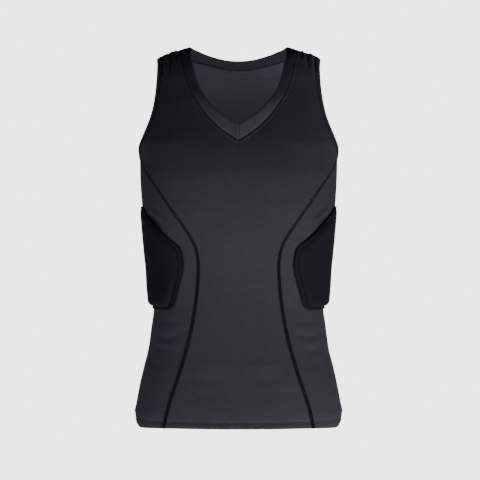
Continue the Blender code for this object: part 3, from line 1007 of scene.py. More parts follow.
def add_mesh(name: str, points: Array, facets: list, grain: Array) -> bpy.types.Object:
    """Add a mesh to the scene.

    Args:
        name: the object's name.
        points: its points in millimetres, with height 0 at level 0.
        facets: the corners of each facet.
        grain: each point's place in the cloth or along the thread, in millimetres.

    Returns:
        The object, shaded smooth, with the grain as its UV map in metres.
    """
    mesh = bpy.data.meshes.new(name)
    places = (points + np.array((0, 0, HOLD_LEVEL))) * MILLIMETRE
    mesh.from_pydata(places.tolist(), [], facets)
    layer = mesh.uv_layers.new(name="grain")
    corners = np.empty(len(mesh.loops), dtype=np.int32)
    mesh.loops.foreach_get("vertex_index", corners)
    layer.data.foreach_set("uv", (grain[corners] * MILLIMETRE).astype(np.float32).ravel())
    mesh.shade_smooth()
    mesh.set_sharp_from_angle(angle=math.radians(SHARP_ANGLE))
    piece = bpy.data.objects.new(name, mesh)
    bpy.context.scene.collection.objects.link(piece)
    return piece


@dataclass(frozen=True)
class Shade:
    """A colour, as shares of light that it returns."""

    red: float
    green: float
    blue: float

    def scaled(self, share: float) -> tuple[float, float, float, float]:
        """Give the colour made lighter or darker, with full cover."""
        return (self.red * share, self.green * share, self.blue * share, 1.0)


class Dye:
    """The node tree of one finish, built up step by step."""

    def __init__(self, name: str) -> None:
        """Start a finish with its surface shader.

        Args:
            name: the material's name.
        """
        self.material = bpy.data.materials.new(name)
        self.material.use_nodes = True
        self.nodes = self.material.node_tree.nodes
        self.links = self.material.node_tree.links
        self.shader = self.nodes["Principled BSDF"]

    def fix(self, values: dict[str, object]) -> None:
        """Set the shader's own sockets.

        Args:
            values: each socket's name and value.
        """
        for name, value in values.items():
            self.shader.inputs[name].default_value = value

    def feed(self, name: str, value: bpy.types.NodeSocket) -> None:
        """Link a value to one of the shader's sockets."""
        self.links.new(value, self.shader.inputs[name])

    def sum(self, operation: str, *values: object) -> bpy.types.NodeSocket:
        """Add a sum.

        Args:
            operation: what the sum does.
            values: up to three sockets or numbers.

        Returns:
            The result's socket.
        """
        node = self.nodes.new("ShaderNodeMath")
        node.operation = operation
        for socket, value in zip(node.inputs, values):
            if isinstance(value, (int, float)):
                socket.default_value = value
            else:
                self.links.new(value, socket)
        return node.outputs[0]

    def place(self) -> bpy.types.NodeSocket:
        """Read the place in the cloth.

        Returns:
            The socket of both distances, as one vector.
        """
        place = self.nodes.new("ShaderNodeUVMap")
        place.uv_map = "grain"
        return place.outputs[0]

    def grain(self) -> tuple[bpy.types.NodeSocket, bpy.types.NodeSocket]:
        """Read the place in the cloth as two distances.

        Returns:
            The sockets of the distances along the courses and the wales.
        """
        split = self.nodes.new("ShaderNodeSeparateXYZ")
        self.links.new(self.place(), split.inputs[0])
        return split.outputs[0], split.outputs[1]

    def noise(self, scale: float, detail: float) -> bpy.types.NodeSocket:
        """Add an even noise in the piece's own space.

        Args:
            scale: how many swells to a metre.
            detail: how many finer layers lie on them.

        Returns:
            The noise's socket, from 0 to 1.
        """
        place = self.nodes.new("ShaderNodeTexCoord")
        noise = self.nodes.new("ShaderNodeTexNoise")
        noise.inputs["Scale"].default_value = scale
        noise.inputs["Detail"].default_value = detail
        self.links.new(place.outputs["Object"], noise.inputs["Vector"])
        return noise.outputs[0]

    def streaks(self) -> bpy.types.NodeSocket:
        """Add the faint level bars that uneven yarn leaves in a knit.

        Returns:
            The bars' socket, from 0 to 1.
        """
        stretch = self.nodes.new("ShaderNodeMapping")
        stretch.inputs["Scale"].default_value = (45.0, 330.0, 1.0)
        bars = self.nodes.new("ShaderNodeTexNoise")
        bars.inputs["Scale"].default_value = 1.0
        bars.inputs["Detail"].default_value = 4.0
        self.links.new(self.place(), stretch.inputs[0])
        self.links.new(stretch.outputs[0], bars.inputs["Vector"])
        return bars.outputs[0]

    def ramp(self, value: bpy.types.NodeSocket, low: tuple, high: tuple) -> bpy.types.NodeSocket:
        """Turn a value from 0 to 1 into a colour.

        Args:
            value: the value's socket.
            low: the colour at 0.
            high: the colour at 1.

        Returns:
            The colour's socket.
        """
        node = self.nodes.new("ShaderNodeValToRGB")
        node.color_ramp.elements[0].color = low
        node.color_ramp.elements[1].color = high
        self.links.new(value, node.inputs[0])
        return node.outputs[0]

    def emboss(self, height: bpy.types.NodeSocket, strength: float, distance: float) -> None:
        """Raise the surface by a height map.

        Args:
            height: the map's socket.
            strength: how strongly it shows.
            distance: how high 1 stands, in metres.
        """
        bump = self.nodes.new("ShaderNodeBump")
        bump.inputs["Strength"].default_value = strength
        bump.inputs["Distance"].default_value = distance
        self.links.new(height, bump.inputs["Height"])
        self.feed("Normal", bump.outputs[0])


@dataclass(frozen=True)
class KnitFinish:
    """A plain knit: columns of small V-shaped loops.

    wale and course are a loop's width and height in millimetres, depth is how strongly the loops
    are embossed, mottle how uneven the dye is, and the wrong-side value how much lighter, or
    below 0 darker, the cloth is where the attribute of that name is 1, which marks the cloth's
    wrong side and, on some outer faces, painted shade. The loops' grooves are also painted
    darker: painted shade. spread is how far the colour swings either way,
    and settled is what brings its mean back to the shade.
    """

    name: str
    shade: Shade
    roughness: float
    specular: float
    sheen: float
    wale: float
    course: float
    depth: float
    mottle: float
    reverse_and_painted_shading: float = 0.0
    spread: float = 0.42
    settled: float = 0.11

    def material(self) -> bpy.types.Material:
        """Mix the finish.

        Returns:
            The material.
        """
        dye = Dye(self.name)
        along, down = dye.grain()
        wales = dye.sum("FRACT", dye.sum("DIVIDE", along, self.wale * MILLIMETRE))
        middle = dye.sum("ABSOLUTE", dye.sum("SUBTRACT", wales, 0.5))
        slant = dye.sum("MULTIPLY", middle, 1.1)
        courses = dye.sum("ADD", dye.sum("DIVIDE", down, self.course * MILLIMETRE), slant)
        loops = dye.sum("SINE", dye.sum("MULTIPLY", courses, 2 * math.pi))
        loops = dye.sum("MULTIPLY_ADD", loops, 0.25, 0.5)
        groove = dye.sum("SMOOTH_MIN", dye.sum("MULTIPLY", middle, 5.0), 1.0, 0.3)
        edge = dye.sum("MULTIPLY", dye.sum("SUBTRACT", 0.5, middle), 6.0)
        gully = dye.sum("SMOOTH_MIN", edge, 1.0, 0.3)
        height = dye.sum("MULTIPLY", loops, dye.sum("MULTIPLY", groove, gully))
        fibres = dye.noise(2600.0, 3.0)
        mottle = dye.noise(24.0, 3.0)
        # The loops' height map also darkens the colour in their grooves: painted shade, besides the
        # emboss.
        tone_with_painted_groove_shade = dye.sum("ADD", dye.sum("MULTIPLY", height, 0.5), dye.sum("MULTIPLY", fibres, 0.18))
        tone_with_painted_groove_shade = dye.sum("ADD", tone_with_painted_groove_shade, dye.sum("MULTIPLY", mottle, self.mottle))
        bars = dye.sum("MULTIPLY", dye.sum("SUBTRACT", dye.streaks(), 0.5), 0.5)
        tone_with_painted_groove_shade = dye.sum("ADD", dye.sum("ADD", tone_with_painted_groove_shade, bars), self.settled)
        low, high = self.shade.scaled(1 - self.spread), self.shade.scaled(1 + self.spread * 1.4)
        # The attribute moves the colour towards the cloth's wrong side, and as painted shading on the
        # neckband's outer face and the pads' borders.
        face = dye.nodes.new("ShaderNodeAttribute")
        face.attribute_name = "reverse_and_painted_shading"
        share = dye.sum("MULTIPLY_ADD", face.outputs["Fac"], self.reverse_and_painted_shading, 1.0)
        scale = dye.nodes.new("ShaderNodeVectorMath")
        scale.operation = "SCALE"
        dye.links.new(dye.ramp(tone_with_painted_groove_shade, low, high), scale.inputs[0])
        dye.links.new(share, scale.inputs["Scale"])
        dye.feed("Base Color", scale.outputs[0])
        dye.feed("Roughness", dye.sum("MULTIPLY_ADD", mottle, 0.08, self.roughness - 0.04))
        dye.emboss(dye.sum("ADD", height, dye.sum("MULTIPLY", fibres, 0.15)), self.depth, 0.0003)
        dye.fix({"Specular IOR Level": self.specular, "Sheen Weight": self.sheen, "Sheen Roughness": 0.45})
        return dye.material


@dataclass(frozen=True)
class ThreadFinish:
    """Spun sewing thread, whose plies wind round it."""

    name: str
    shade: Shade
    roughness: float
    twist: float

    def material(self) -> bpy.types.Material:
        """Mix the finish.

        Returns:
            The material.
        """
        dye = Dye(self.name)
        along, around = dye.grain()
        turns = dye.sum("DIVIDE", along, self.twist * MILLIMETRE)
        turns = dye.sum("ADD", turns, dye.sum("MULTIPLY", around, 1000.0))
        plies = dye.sum("SINE", dye.sum("MULTIPLY", turns, 2 * math.pi))
        plies = dye.sum("MULTIPLY_ADD", plies, 0.5, 0.5)
        fibres = dye.sum("MULTIPLY", dye.noise(900.0, 2.0), 0.3)
        # The plies also set the colour, darker between them: painted shade, besides the emboss.
        tone_with_painted_groove_shade = dye.sum("ADD", dye.sum("MULTIPLY", plies, 0.7), fibres)
        dye.feed("Base Color", dye.ramp(tone_with_painted_groove_shade, self.shade.scaled(0.5), self.shade.scaled(1.5)))
        dye.fix({"Roughness": self.roughness, "Specular IOR Level": 0.25})
        dye.emboss(plies, 0.4, 0.0001)
        return dye.material


# Its wrong-side value lightens the inner faces: partly the knit's own lighter wrong side, partly painted
# light inside the hollow shirt.
JERSEY = KnitFinish(
    name="jersey",
    shade=Shade(0.0265, 0.0245, 0.0350),
    roughness=0.70,
    specular=0.22,
    sheen=0.05,
    wale=0.95,
    course=0.72,
    depth=0.5,
    mottle=0.24,
    reverse_and_painted_shading=0.6,
)
# Its light shade paints the neckband's face at the V lit; its wrong-side value below 0 darkens the inner
# faces and, as painted shade, the neckband's outer face away from the V. The armhole bindings take half of
# it all over as their own tone.
BAND_JERSEY = KnitFinish(
    name="band_jersey",
    shade=Shade(0.0505, 0.0470, 0.0662),
    roughness=0.70,
    specular=0.22,
    sheen=0.05,
    wale=0.85,
    course=0.66,
    depth=0.5,
    mottle=0.2,
    reverse_and_painted_shading=-0.55,
)
# Its wrong-side value below 0 darkens the rings at the border's edge and at its stitched groove: painted
# shade in those valleys.
PAD_COVER = KnitFinish(
    name="pad_cover",
    shade=Shade(0.0066, 0.0058, 0.0106),
    roughness=0.80,
    specular=0.15,
    sheen=0.02,
    wale=1.1,
    course=0.9,
    depth=0.6,
    mottle=0.2,
    reverse_and_painted_shading=-0.5,
)
THREAD = ThreadFinish("thread", Shade(0.0150, 0.0120, 0.0250), roughness=0.8, twist=0.55)
# Near black, so the dense cross stitches on the pads' slanting edges read as a shadow there: painted
# shadow; the border rows share it.
PAD_THREAD = ThreadFinish("pad_thread", Shade(0.0035, 0.0030, 0.0055), roughness=0.8, twist=0.55)
FINISHES = (JERSEY, BAND_JERSEY, PAD_COVER, THREAD, PAD_THREAD)


@dataclass(frozen=True)
class Workshop:
    """What every piece is made from."""

    form: WornForm
    relief: Relief
    seams: SeamLines
    finishes: dict[str, bpy.types.Material]

    def dress(self, piece: bpy.types.Object, finish: str, slot: str) -> bpy.types.Object:
        """Give a piece its finish and its place on the part.

        Args:
            piece: the object.
            finish: the finish's name.
            slot: the record's material slot; not used.

        Returns:
            The same object.
        """
        piece.data.materials.append(self.finishes[finish])
        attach(piece, "root")
        log.info("%s: %d facets, %s", piece.name, len(piece.data.polygons), finish)
        return piece

    def surface(self, places: Array, lift: Array, mirrored: bool = False) -> tuple[Array, Array]:
        """Give points on the cloth's face and their normals.

        Args:
            places: an angle and a level in each row.
            lift: how far the points stand off the form, besides the relief.
            mirrored: whether they belong to the wearer's right half.

        Returns:
            The points and the normals.
        """
        return self.raised(self.form.points(places), lift, mirrored)

    def raised(self, points: Array, lift: Array, mirrored: bool) -> tuple[Array, Array]:
        """Lift points of the form on to the cloth's face.

        Args:
            points: the points.
            lift: how far they stand off the cloth.
            mirrored: whether they go to the wearer's right half.

        Returns:
            The lifted points and their normals.
        """
        flip = half_flip(mirrored)
        points, normals = points * flip, self.form.outward(points) * flip
        rise = self.relief.at(points) + lift
        return points + normals * rise[:, None], normals


@dataclass
class BodyPanel:
    """The front or back panel, both halves in one piece."""

    shop: Workshop
    behind: bool
    flat: tuple[float, float]
    flat_area: float
    columns: int = 62
    fine_inside: int = 13
    fine_outside: int = 5
    spread: float = 0.7
    spread_below: float = 1.4

    @property
    def name(self) -> str:
        """Name the panel."""
        return "back_panel" if self.behind else "front_panel"

    def rows(self) -> tuple[list[Array], int]:
        """Lay half of the panel's rows.

        Returns:
            The rows from the inner boundary to the outer one, and the number of the first row
            that runs through the centre.
        """
        seams = self.shop.seams
        neck = seams.neck_seam[1] if self.behind else seams.neck_seam[0]
        strap = seams.armhole_seam[2][::-1] if self.behind else seams.armhole_seam[0]
        seam = seams.back_seam if self.behind else seams.front_seam
        centre = 180.0 if self.behind else 0.0
        inner = [tuple(place) for place in neck]
        free = seams.yoke_rows - seams.seam_top_rows - (len(neck) - 1)
        if free > 0:
            shares = np.linspace(0, 1, free + 1)[1:] ** self.spread
            inner += [(centre, neck[-1][1] + (strap[-1][1] - neck[-1][1]) * share) for share in shares]
        rest = np.linspace(0, 1, seams.yoke_rows - len(inner) + 2)[1:] ** self.spread_below
        rest = inner[-1][1] + (YOKE_LEVEL - inner[-1][1]) * rest
        inner += [(centre, level) for level in (*rest, *seams.levels)]
        outer = np.vstack((strap, seam[1:]))
        fine = (self.columns, self.fine_inside, self.fine_outside)
        rows = [self.shop.form.across(start, end, *fine) for start, end in zip(inner, outer)]
        return rows, len(neck) - 1

    def build(self) -> bpy.types.Object:
        """Make the panel.

        Returns:
            The object.
        """
        cloth = Cloth(self.shop.form, self.shop.relief)
        rows, first_whole = self.rows()
        halves: dict[bool, list[Array]] = {False: [], True: []}
        seams = self.shop.seams
        neck = self.shop.form.points(seams.neck_seam[1] if self.behind else seams.neck_seam[0])
        for number, row in enumerate(rows):
            outside, inside = faces_of_wall(row[0][1])
            if row[:, 1].min() < NECK_SEAM_FRONT[0][1] + 12:
                outside = outside + neck_welt(distance_to(self.shop.form.points(row), neck)[0])
            around = self.shop.form.girth_at(row)
            if self.behind:
                around = BACK_GRAIN + self.shop.form.girth_at(np.array([(180.0, row[0][1])])) - around
            grain = np.column_stack((around, -row[:, 1]))
            left = cloth.add(row, outside, inside, grain)
            if number >= first_whole:
                outside = np.broadcast_to(outside, len(row))
                right = cloth.add(row[1:], outside[1:], inside, grain[1:], True)
                right = np.concatenate((left[:1], right))
            else:
                right = cloth.add(row, outside, inside, grain, True)
            halves[False].append(left)
            halves[True].append(right)
        for mirrored, numbers in halves.items():
            for upper, lower in zip(numbers, numbers[1:]):
                cloth.span(lower, upper, mirrored != self.behind)
        return cloth.sew(f"{self.name}_cloth")

    def dress(self, piece: bpy.types.Object) -> bpy.types.Object:
        """Finish the panel and hide the model's part that it stands for.

        Args:
            piece: the panel.

        Returns:
            The same object.
        """
        self.shop.dress(piece, "jersey", "jersey")
        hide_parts(self.name)
        return piece


def neck_welt(gap: Array) -> Array:
    """Say how the seam allowance under the topstitching lifts the cloth beside the neck seam.

    Args:
        gap: the distances from the neck seam.

    Returns:
        How much further out the cloth's face lies there.
    """
    start, end, slope = 1.9, 5.2, 0.35
    plateau = 1 / (1 + np.exp(-(gap - start) / slope)) - 1 / (1 + np.exp(-(gap - end) / slope))
    seam_dip = 0.2 * np.exp(-((gap / 1.0) ** 2))
    row_dip = 0.35 * np.exp(-(((gap - NECK_ROW) / 0.8) ** 2))
    return 0.5 * plateau - seam_dip - row_dip


def faces_of_wall(level: float) -> tuple[float, float]:
    """Say where a panel's faces lie.

    Args:
        level: a level.

    Returns:
        How far the outer and inner faces lie outside and inside the form.
    """
    levels, outsides, insides = zip(*HEM_PROFILE)
    return float(np.interp(level, levels, outsides)), float(np.interp(level, levels, insides))


@dataclass
class SidePanel:
    """A side panel, from the armhole to the hem and from the front seam to the back one."""

    shop: Workshop
    side: Side
    flat: tuple[float, float] = (0.245, 0.485)
    flat_area: float = 0.100

    def build(self) -> bpy.types.Object:
        """Make the panel.

        Returns:
            The object.
        """
        seams, form = self.shop.seams, self.shop.form
        cloth = Cloth(form, self.shop.relief)
        rows = [seams.armhole_seam[1]]
        for start, end in zip(seams.front_seam[1:], seams.back_seam[1:]):
            rows.append(form.across(start, end, seams.side_columns))
        numbers = []
        for row in rows:
            outside, inside = faces_of_wall(row[0][1])
            middle = form.girth_at(np.column_stack((np.full(len(row), 90.0), row[:, 1])))
            grain = np.column_stack((SIDE_GRAIN + form.girth_at(row) - middle, -row[:, 1]))
            numbers.append(cloth.add(row, outside, inside, grain, self.side.mirrored))
        for upper, lower in zip(numbers, numbers[1:]):
            cloth.span(lower, upper, self.side.mirrored)
        return cloth.sew(f"side_panel_{self.side.value}_cloth")

    def dress(self, piece: bpy.types.Object) -> bpy.types.Object:
        """Finish the panel and hide the model's part that it stands for.

        Args:
            piece: the panel.

        Returns:
            The same object.
        """
        self.shop.dress(piece, "jersey", "jersey")
        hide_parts(f"side_panel_{self.side.value}")
        return piece


@dataclass
class ArmholeBinding:
    """The closed ring of folded jersey that binds an armhole."""

    shop: Workshop
    side: Side
    flat: tuple[float, float] = (0.0105, 0.385)
    tone_and_painted_shading: float = 0.5

    def build(self) -> bpy.types.Object:
        """Make the binding.

        Returns:
            The object.
        """
        edge, seam = self.shop.seams.armhole_rings()
        run = lengths_along(self.shop.form.points(seam))
        cloth = Cloth(self.shop.form, self.shop.relief)
        rings = []
        for share, outside, inside in BINDING_PROFILE:
            places = edge * (1 - share) + seam * share
            grain = np.column_stack((np.full(len(run), share * BINDING_WIDTH), run))
            numbers = cloth.add(places, outside, inside, grain, self.side.mirrored, self.tone_and_painted_shading)
            rings.append(np.append(numbers, numbers[0]))
        for first, second in zip(rings, rings[1:]):
            cloth.span(first, second, not self.side.mirrored)
        return cloth.sew(f"armhole_binding_{self.side.value}_cloth")

    def dress(self, piece: bpy.types.Object) -> bpy.types.Object:
        """Finish the binding and hide the model's part that it stands for.

        Args:
            piece: the binding.

        Returns:
            The same object.
        """
        self.shop.dress(piece, "band_jersey", "jersey")
        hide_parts(f"armhole_binding_{self.side.value}")
        return piece


@dataclass
class Neckband:
    """The neckband, one strip with a mitre at centre front."""

    shop: Workshop
    flat: tuple[float, float] = (0.019, 0.66)
    mitre: float = 0.9
    mitre_swell: float = 0.4
    curl: float = 4.2
    curl_top: float = 75.0
    curl_grows: float = 60.0

    def build(self) -> bpy.types.Object:
        """Make the neckband.

        Returns:
            The object.
        """
        edge, seam = self.shop.seams.neck_rings()
        run = lengths_along(self.shop.form.points(seam))
        cloth = Cloth(self.shop.form, self.shop.relief)
        rings = []
        for share, outside, inside in NECKBAND_PROFILE:
            places = edge * (1 - share) + seam * share
            aside = self.shop.form.points(places)[:, 0]
            front = places[:, 0] < 60
            fold = np.where(front, np.exp(-((aside / 1.2) ** 2)), 0.0)
            swell = np.where(front, np.exp(-(((aside - 3.0) / 1.5) ** 2)), 0.0)
            deep = np.clip((places[:, 1] - self.curl_top) / self.curl_grows, 0, 1)
            deep = np.where(front, deep, 0.0)
            deep = deep**2 * (3 - 2 * deep)
            outer = outside - self.mitre * fold + self.mitre_swell * swell + self.curl * (1 - share) * deep
            grain = np.column_stack((np.full(len(run), share * NECKBAND_WIDTH), run))
            inner = inside + outside - outer
            # Outer faces move towards the band's darker wrong-side colour by 1 - deep: painted shade away
            # from the V, up the sides and round the back.
            left = cloth.add(places, outer, inner, grain, False, 1 - deep)
            right = cloth.add(places[1:-1], outer[1:-1], inner[1:-1], grain[1:-1], True, 1 - deep[1:-1])
            rings.append(np.concatenate((left, right[::-1], left[:1])))
        for first, second in zip(rings, rings[1:]):
            cloth.span(second, first)
        return cloth.sew("neckband_cloth")

    def dress(self, piece: bpy.types.Object) -> bpy.types.Object:
        """Finish the neckband and hide the model's part that it stands for.

        Args:
            piece: the neckband.

        Returns:
            The same object.
        """
        self.shop.dress(piece, "band_jersey", "jersey")
        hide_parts("neckband")
        return piece


@dataclass
class RibPad:
    """A foam pad in a knit cover, stitched down round its border."""

    shop: Workshop
    side: Side
    border_wall: float = 1.5
    top_height: float = 3.6
    low_height: float = 10.0
    crown: float = 0.9
    shoulder: float = 10.0
    slack: float = 1.4
    travel: float = 5.0
    fill: float = 0.85
    groove: int = 6
    frames: int = 20

    def outline(self, inset: float, slope: float) -> Array:
        """Give the pad's rounded outline on the unrolled side panel.

        Args:
            inset: 0 at the edge, 1 at the border's inner line.
            slope: how much further in the line lies.

        Returns:
            Reaches from the side line and levels, going round.
        """
        half = [row[:2] for row in PAD_CORNERS]
        corners = half + [(-reach, level) for reach, level in half[::-1]]
        borders = [row[2] for row in PAD_CORNERS]
        borders += borders[:-1][::-1] + [PAD_TOP[0]]
        splits = [row[3] for row in PAD_CORNERS]
        splits += splits[:-1][::-1] + [PAD_TOP[1]]
        rounds = [row[4:] for row in PAD_CORNERS + PAD_CORNERS[::-1]]
        count = len(corners)
        lines = []
        for k in range(count):
            start = np.array(corners[k], float)
            along = np.array(corners[(k + 1) % count]) - start
            along /= np.linalg.norm(along)
            inward = np.array((-along[1], along[0]))
            lines.append((start + inward * (borders[k] * inset + slope), along))
        arcs = []
        for k in range(count):
            (start, along), (origin, heading) = lines[k - 1], lines[k]
            gauge = np.column_stack((along, -heading))
            corner = start + along * np.linalg.solve(gauge, origin - start)[0]
            radius = max(rounds[k][0] - 6.0 * inset - slope, 3.0)
            back_off = radius * math.tan(math.acos(np.clip(along @ heading, -1, 1)) / 2)
            first, last = corner - along * back_off, corner + heading * back_off
            t = np.linspace(0, 1, rounds[k][1] + 1)[:, None]
            arcs.append((1 - t) ** 2 * first + 2 * t * (1 - t) * corner + t**2 * last)
        ring = []
        for k in range(count):
            shares = np.linspace(0, 1, splits[k] + 1)[1:-1, None]
            following = arcs[(k + 1) % count][0]
            ring.append(np.vstack((arcs[k], arcs[k][-1] * (1 - shares) + following * shares)))
        return np.vstack(ring)

    def foam(self, level: Array) -> Array:
        """Say how thick the foam is at each level."""
        share = np.clip((level - PAD_THICKENS[0]) / (PAD_THICKENS[1] - PAD_THICKENS[0]), 0, 1)
        return self.top_height + (self.low_height - self.top_height) * share**2 * (3 - 2 * share)

    def rings(self) -> list[tuple[Array, float]]:
        """Lay the pad's rings from its edge to its middle.

        Returns:
            Each ring with the share of the foam's height that it has.
        """
        laid = [(self.outline(inset, 0.0), 0.0) for inset in (0.0, 0.12, 0.3, 0.5, 0.7, 0.88, 1.0)]
        for share in (0.12, 0.3, 0.5, 0.72, 1.0):
            laid.append((self.outline(1.0, self.shoulder * share), math.sin(math.pi / 2 * share) ** 0.7))
        top = laid[-1][0]
        middle = top.mean(axis=0)
        for share in np.linspace(1, 0, 20)[1:-1]:
            laid.append((middle + (top - middle) * share, 1.0))
        return laid

    def build(self) -> bpy.types.Object:
        """Make the pad and let its cover swell.

        Returns:
            The object.
        """
        rings = self.rings()
        size = len(rings[0][0])
        spots = np.vstack([ring for ring, _ in rings])
        raised = np.repeat([share for _, share in rings], size)
        spots = np.vstack((spots, rings[-1][0].mean(axis=0)))
        raised = np.append(raised, 1.0)
        places = self.shop.form.round_the_side(spots[:, 0], spots[:, 1])
        base = self.shop.form.points(places)
        normals = self.shop.form.outward(base)
        crown = self.crown * np.maximum(0.0, 1 - np.abs(spots[:, 0]) / 120) * raised
        filling = self.foam(spots[:, 1]) - self.border_wall - self.slack
        height = self.border_wall + raised * filling + crown
        ring_number = np.minimum(np.arange(len(spots)) // size, len(rings))
        height += np.select([ring_number == 0, ring_number == self.groove], [-0.7, -0.75], 0.0)
        outer = base + normals * (PAD_CLEAR + height)[:, None]
        inner = base + normals * PAD_CLEAR
        count = len(spots)
        numbers = np.arange(count - 1).reshape(len(rings), size)
        facets = []
        for first, second in zip(numbers, numbers[1:]):
            facets += np.column_stack((first, np.roll(first, -1), np.roll(second, -1), second)).tolist()
        for start, end in zip(numbers[-1], np.roll(numbers[-1], -1)):
            facets.append([start, end, count - 1])
        facets = [[int(k) for k in facet] for facet in facets]
        facets += [[k + count for k in facet[::-1]] for facet in facets]
        edge = numbers[0].tolist()
        for start, end in zip(edge, edge[1:] + edge[:1]):
            facets.append([end, start, start + count, end + count])
        points = np.vstack((outer, inner))
        grain = np.vstack((spots, spots)) * np.array((1.0, -1.0))
        points = points * half_flip(self.side.mirrored)
        if self.side.mirrored:
            facets = [facet[::-1] for facet in facets]
        piece = add_mesh(f"rib_pad_{self.side.value}_cover", points, facets, grain)
        # Rings at the border's edge and beside the stitched groove get a darker colour: painted shade in
        # the valleys there.
        painted_shade_rings = (0, 1, self.groove - 1, self.groove)
        mark_reverse_and_painted_shading(piece, np.tile(np.isin(ring_number, painted_shade_rings), 2))
        held = [int(k) for k in range(2 * count) if k >= count or ring_number[k] <= self.groove]
        self.swell(piece, held)
        return piece

    def swell(self, piece: bpy.types.Object, held: list[int]) -> None:
        """Press the cover out with the foam's spring, held at its stitching.

        Args:
            piece: the pad.
            held: the numbers of the points that don't move.
        """
        scene = bpy.context.scene
        start = np.array([vertex.co for vertex in piece.data.vertices])
        group = piece.vertex_groups.new(name="stitched")
        group.add(held, 1.0, "REPLACE")
        cloth = piece.modifiers.new("cover", "CLOTH")
        cloth.settings.quality = 6
        cloth.settings.mass = 0.25
        cloth.settings.tension_stiffness = 25
        cloth.settings.compression_stiffness = 25
        cloth.settings.shear_stiffness = 15
        cloth.settings.bending_stiffness = 2.0
        cloth.settings.air_damping = 3
        cloth.settings.use_pressure = True
        cloth.settings.uniform_pressure_force = 4.0
        cloth.settings.vertex_group_mass = "stitched"
        cloth.settings.effector_weights.gravity = 0.0
        cloth.collision_settings.use_collision = False
        cloth.point_cache.frame_start = 1
        cloth.point_cache.frame_end = self.frames
        for number in range(1, self.frames + 1):
            scene.frame_set(number)
        bpy.ops.object.select_all(action="DESELECT")
        bpy.context.view_layer.objects.active = piece
        piece.select_set(True)
        bpy.ops.object.modifier_apply(modifier="cover")
        scene.frame_set(1)
        moved = np.array([vertex.co for vertex in piece.data.vertices]) - start
        far = np.linalg.norm(moved, axis=1)
        cap = np.minimum(1.0, self.travel * MILLIMETRE / np.maximum(far, 1e-9))
        log.info("%s: cover swelled %.1f mm at most", piece.name, far.max() * 1000)
        piece.data.vertices.foreach_set("co", (start + moved * cap[:, None]).ravel())
        piece.data.update()
        finer = piece.modifiers.new("finer", "SUBSURF")
        finer.levels = finer.render_levels = 1

    def dress(self, piece: bpy.types.Object) -> bpy.types.Object:
        """Finish the pad.

        Args:
            piece: the pad.

        Returns:
            The same object.
        """
        self.shop.dress(piece, "pad_cover", "rib_cover")
        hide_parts(f"rib_pad_{self.side.value}")
        return piece


class Needlework:
    """Threads that are laid on the cloth and joined into one mesh."""

    def __init__(self, radius: float) -> None:
        """Thread the needle.

        Args:
            radius: half of the thread's thickness.
        """
        self.radius = radius
        self.points: list[Array] = []
        self.facets: list[list[int]] = []
        self.grain: list[Array] = []
        self.count = 0

    def lay(self, path: Array, normals: Array, sides: int = 5) -> None:
        """Lay one length of thread.

        Args:
            path: the thread's centre line.
            normals: the cloth's normals along it.
            sides: how many sides the thread has.
        """
        forward = unit_rows(np.gradient(path, axis=0))
        across = unit_rows(np.cross(forward, normals))
        up = np.cross(across, forward)
        turns = np.linspace(0, 2 * math.pi, sides, endpoint=False)
        ring = across[:, None] * np.cos(turns)[:, None] + up[:, None] * np.sin(turns)[:, None]
        self.points.append((path[:, None] + self.radius * ring).reshape(-1, 3))
        run = np.repeat(lengths_along(path), sides)
        self.grain.append(np.column_stack((run, np.tile(np.arange(sides) / sides, len(path)))))
        number = self.count + np.arange(len(path) * sides).reshape(len(path), sides)
        for first, second in zip(number, number[1:]):
            quads = np.column_stack((second, np.roll(second, -1), np.roll(first, -1), first))
            self.facets += quads.tolist()
        self.facets.append(number[0].tolist())
        self.facets.append(number[-1][::-1].tolist())
        self.count += len(path) * sides

    def stitch(self, path: Array, normals: Array, length: float, gap: float = 0.5) -> None:
        """Sew a row of stitches that dip into the cloth between them.

        Args:
            path: the row's line on the cloth's face.
            normals: the cloth's normals along it.
            length: how long a stitch is, with the gap after it.
            gap: how far apart the stitches are.
        """
        run = lengths_along(path)
        count = max(1, round(run[-1] / length))
        pitch = run[-1] / count
        arch = np.array((-1.0, 0.35, 0.75, 0.35, -1.0)) * self.radius
        for k in range(count):
            marks = k * pitch + np.array((0.0, 0.16, 0.5, 0.84, 1.0)) * (pitch - gap)
            spots, ups = read_rows(marks, run, path), read_rows(marks, run, normals)
            self.lay(spots + ups * arch[:, None], ups, 4)

    def cross(self, path: Array, normals: Array, width: Array | float, pitch: float) -> None:
        """Sew the crossing threads of a cover stitch.

        Args:
            path: the seam's line on the cloth's face.
            normals: the cloth's normals along it.
            width: how wide the stitch is, all along or at each point.
            pitch: how far it goes along the seam in one turn.
        """
        run = lengths_along(path)
        count = int(run[-1] / pitch * 2)
        marks = np.linspace(0, run[-1], 2 * count + 1)
        spots, ups = read_rows(marks, run, path), read_rows(marks, run, normals)
        aside = np.cross(unit_rows(np.gradient(spots, axis=0)), ups)
        swing = np.tile((-0.5, 0.0, 0.5, 0.0), count)[: len(marks)]
        swing = swing * np.interp(marks, run, np.broadcast_to(width, len(run)))
        for sign in (-1, 1):
            line = spots + aside * (sign * swing)[:, None]
            lift = self.radius * (0.9 + 0.5 * sign * np.cos(np.pi * np.arange(len(marks)) / 2))
            self.lay(line + ups * lift[:, None], ups, 4)

    def finish(self, name: str) -> bpy.types.Object:
        """Tie off the threads.

        Args:
            name: the object's name.

        Returns:
            The object.
        """
        return add_mesh(name, np.vstack(self.points), self.facets, np.vstack(self.grain))


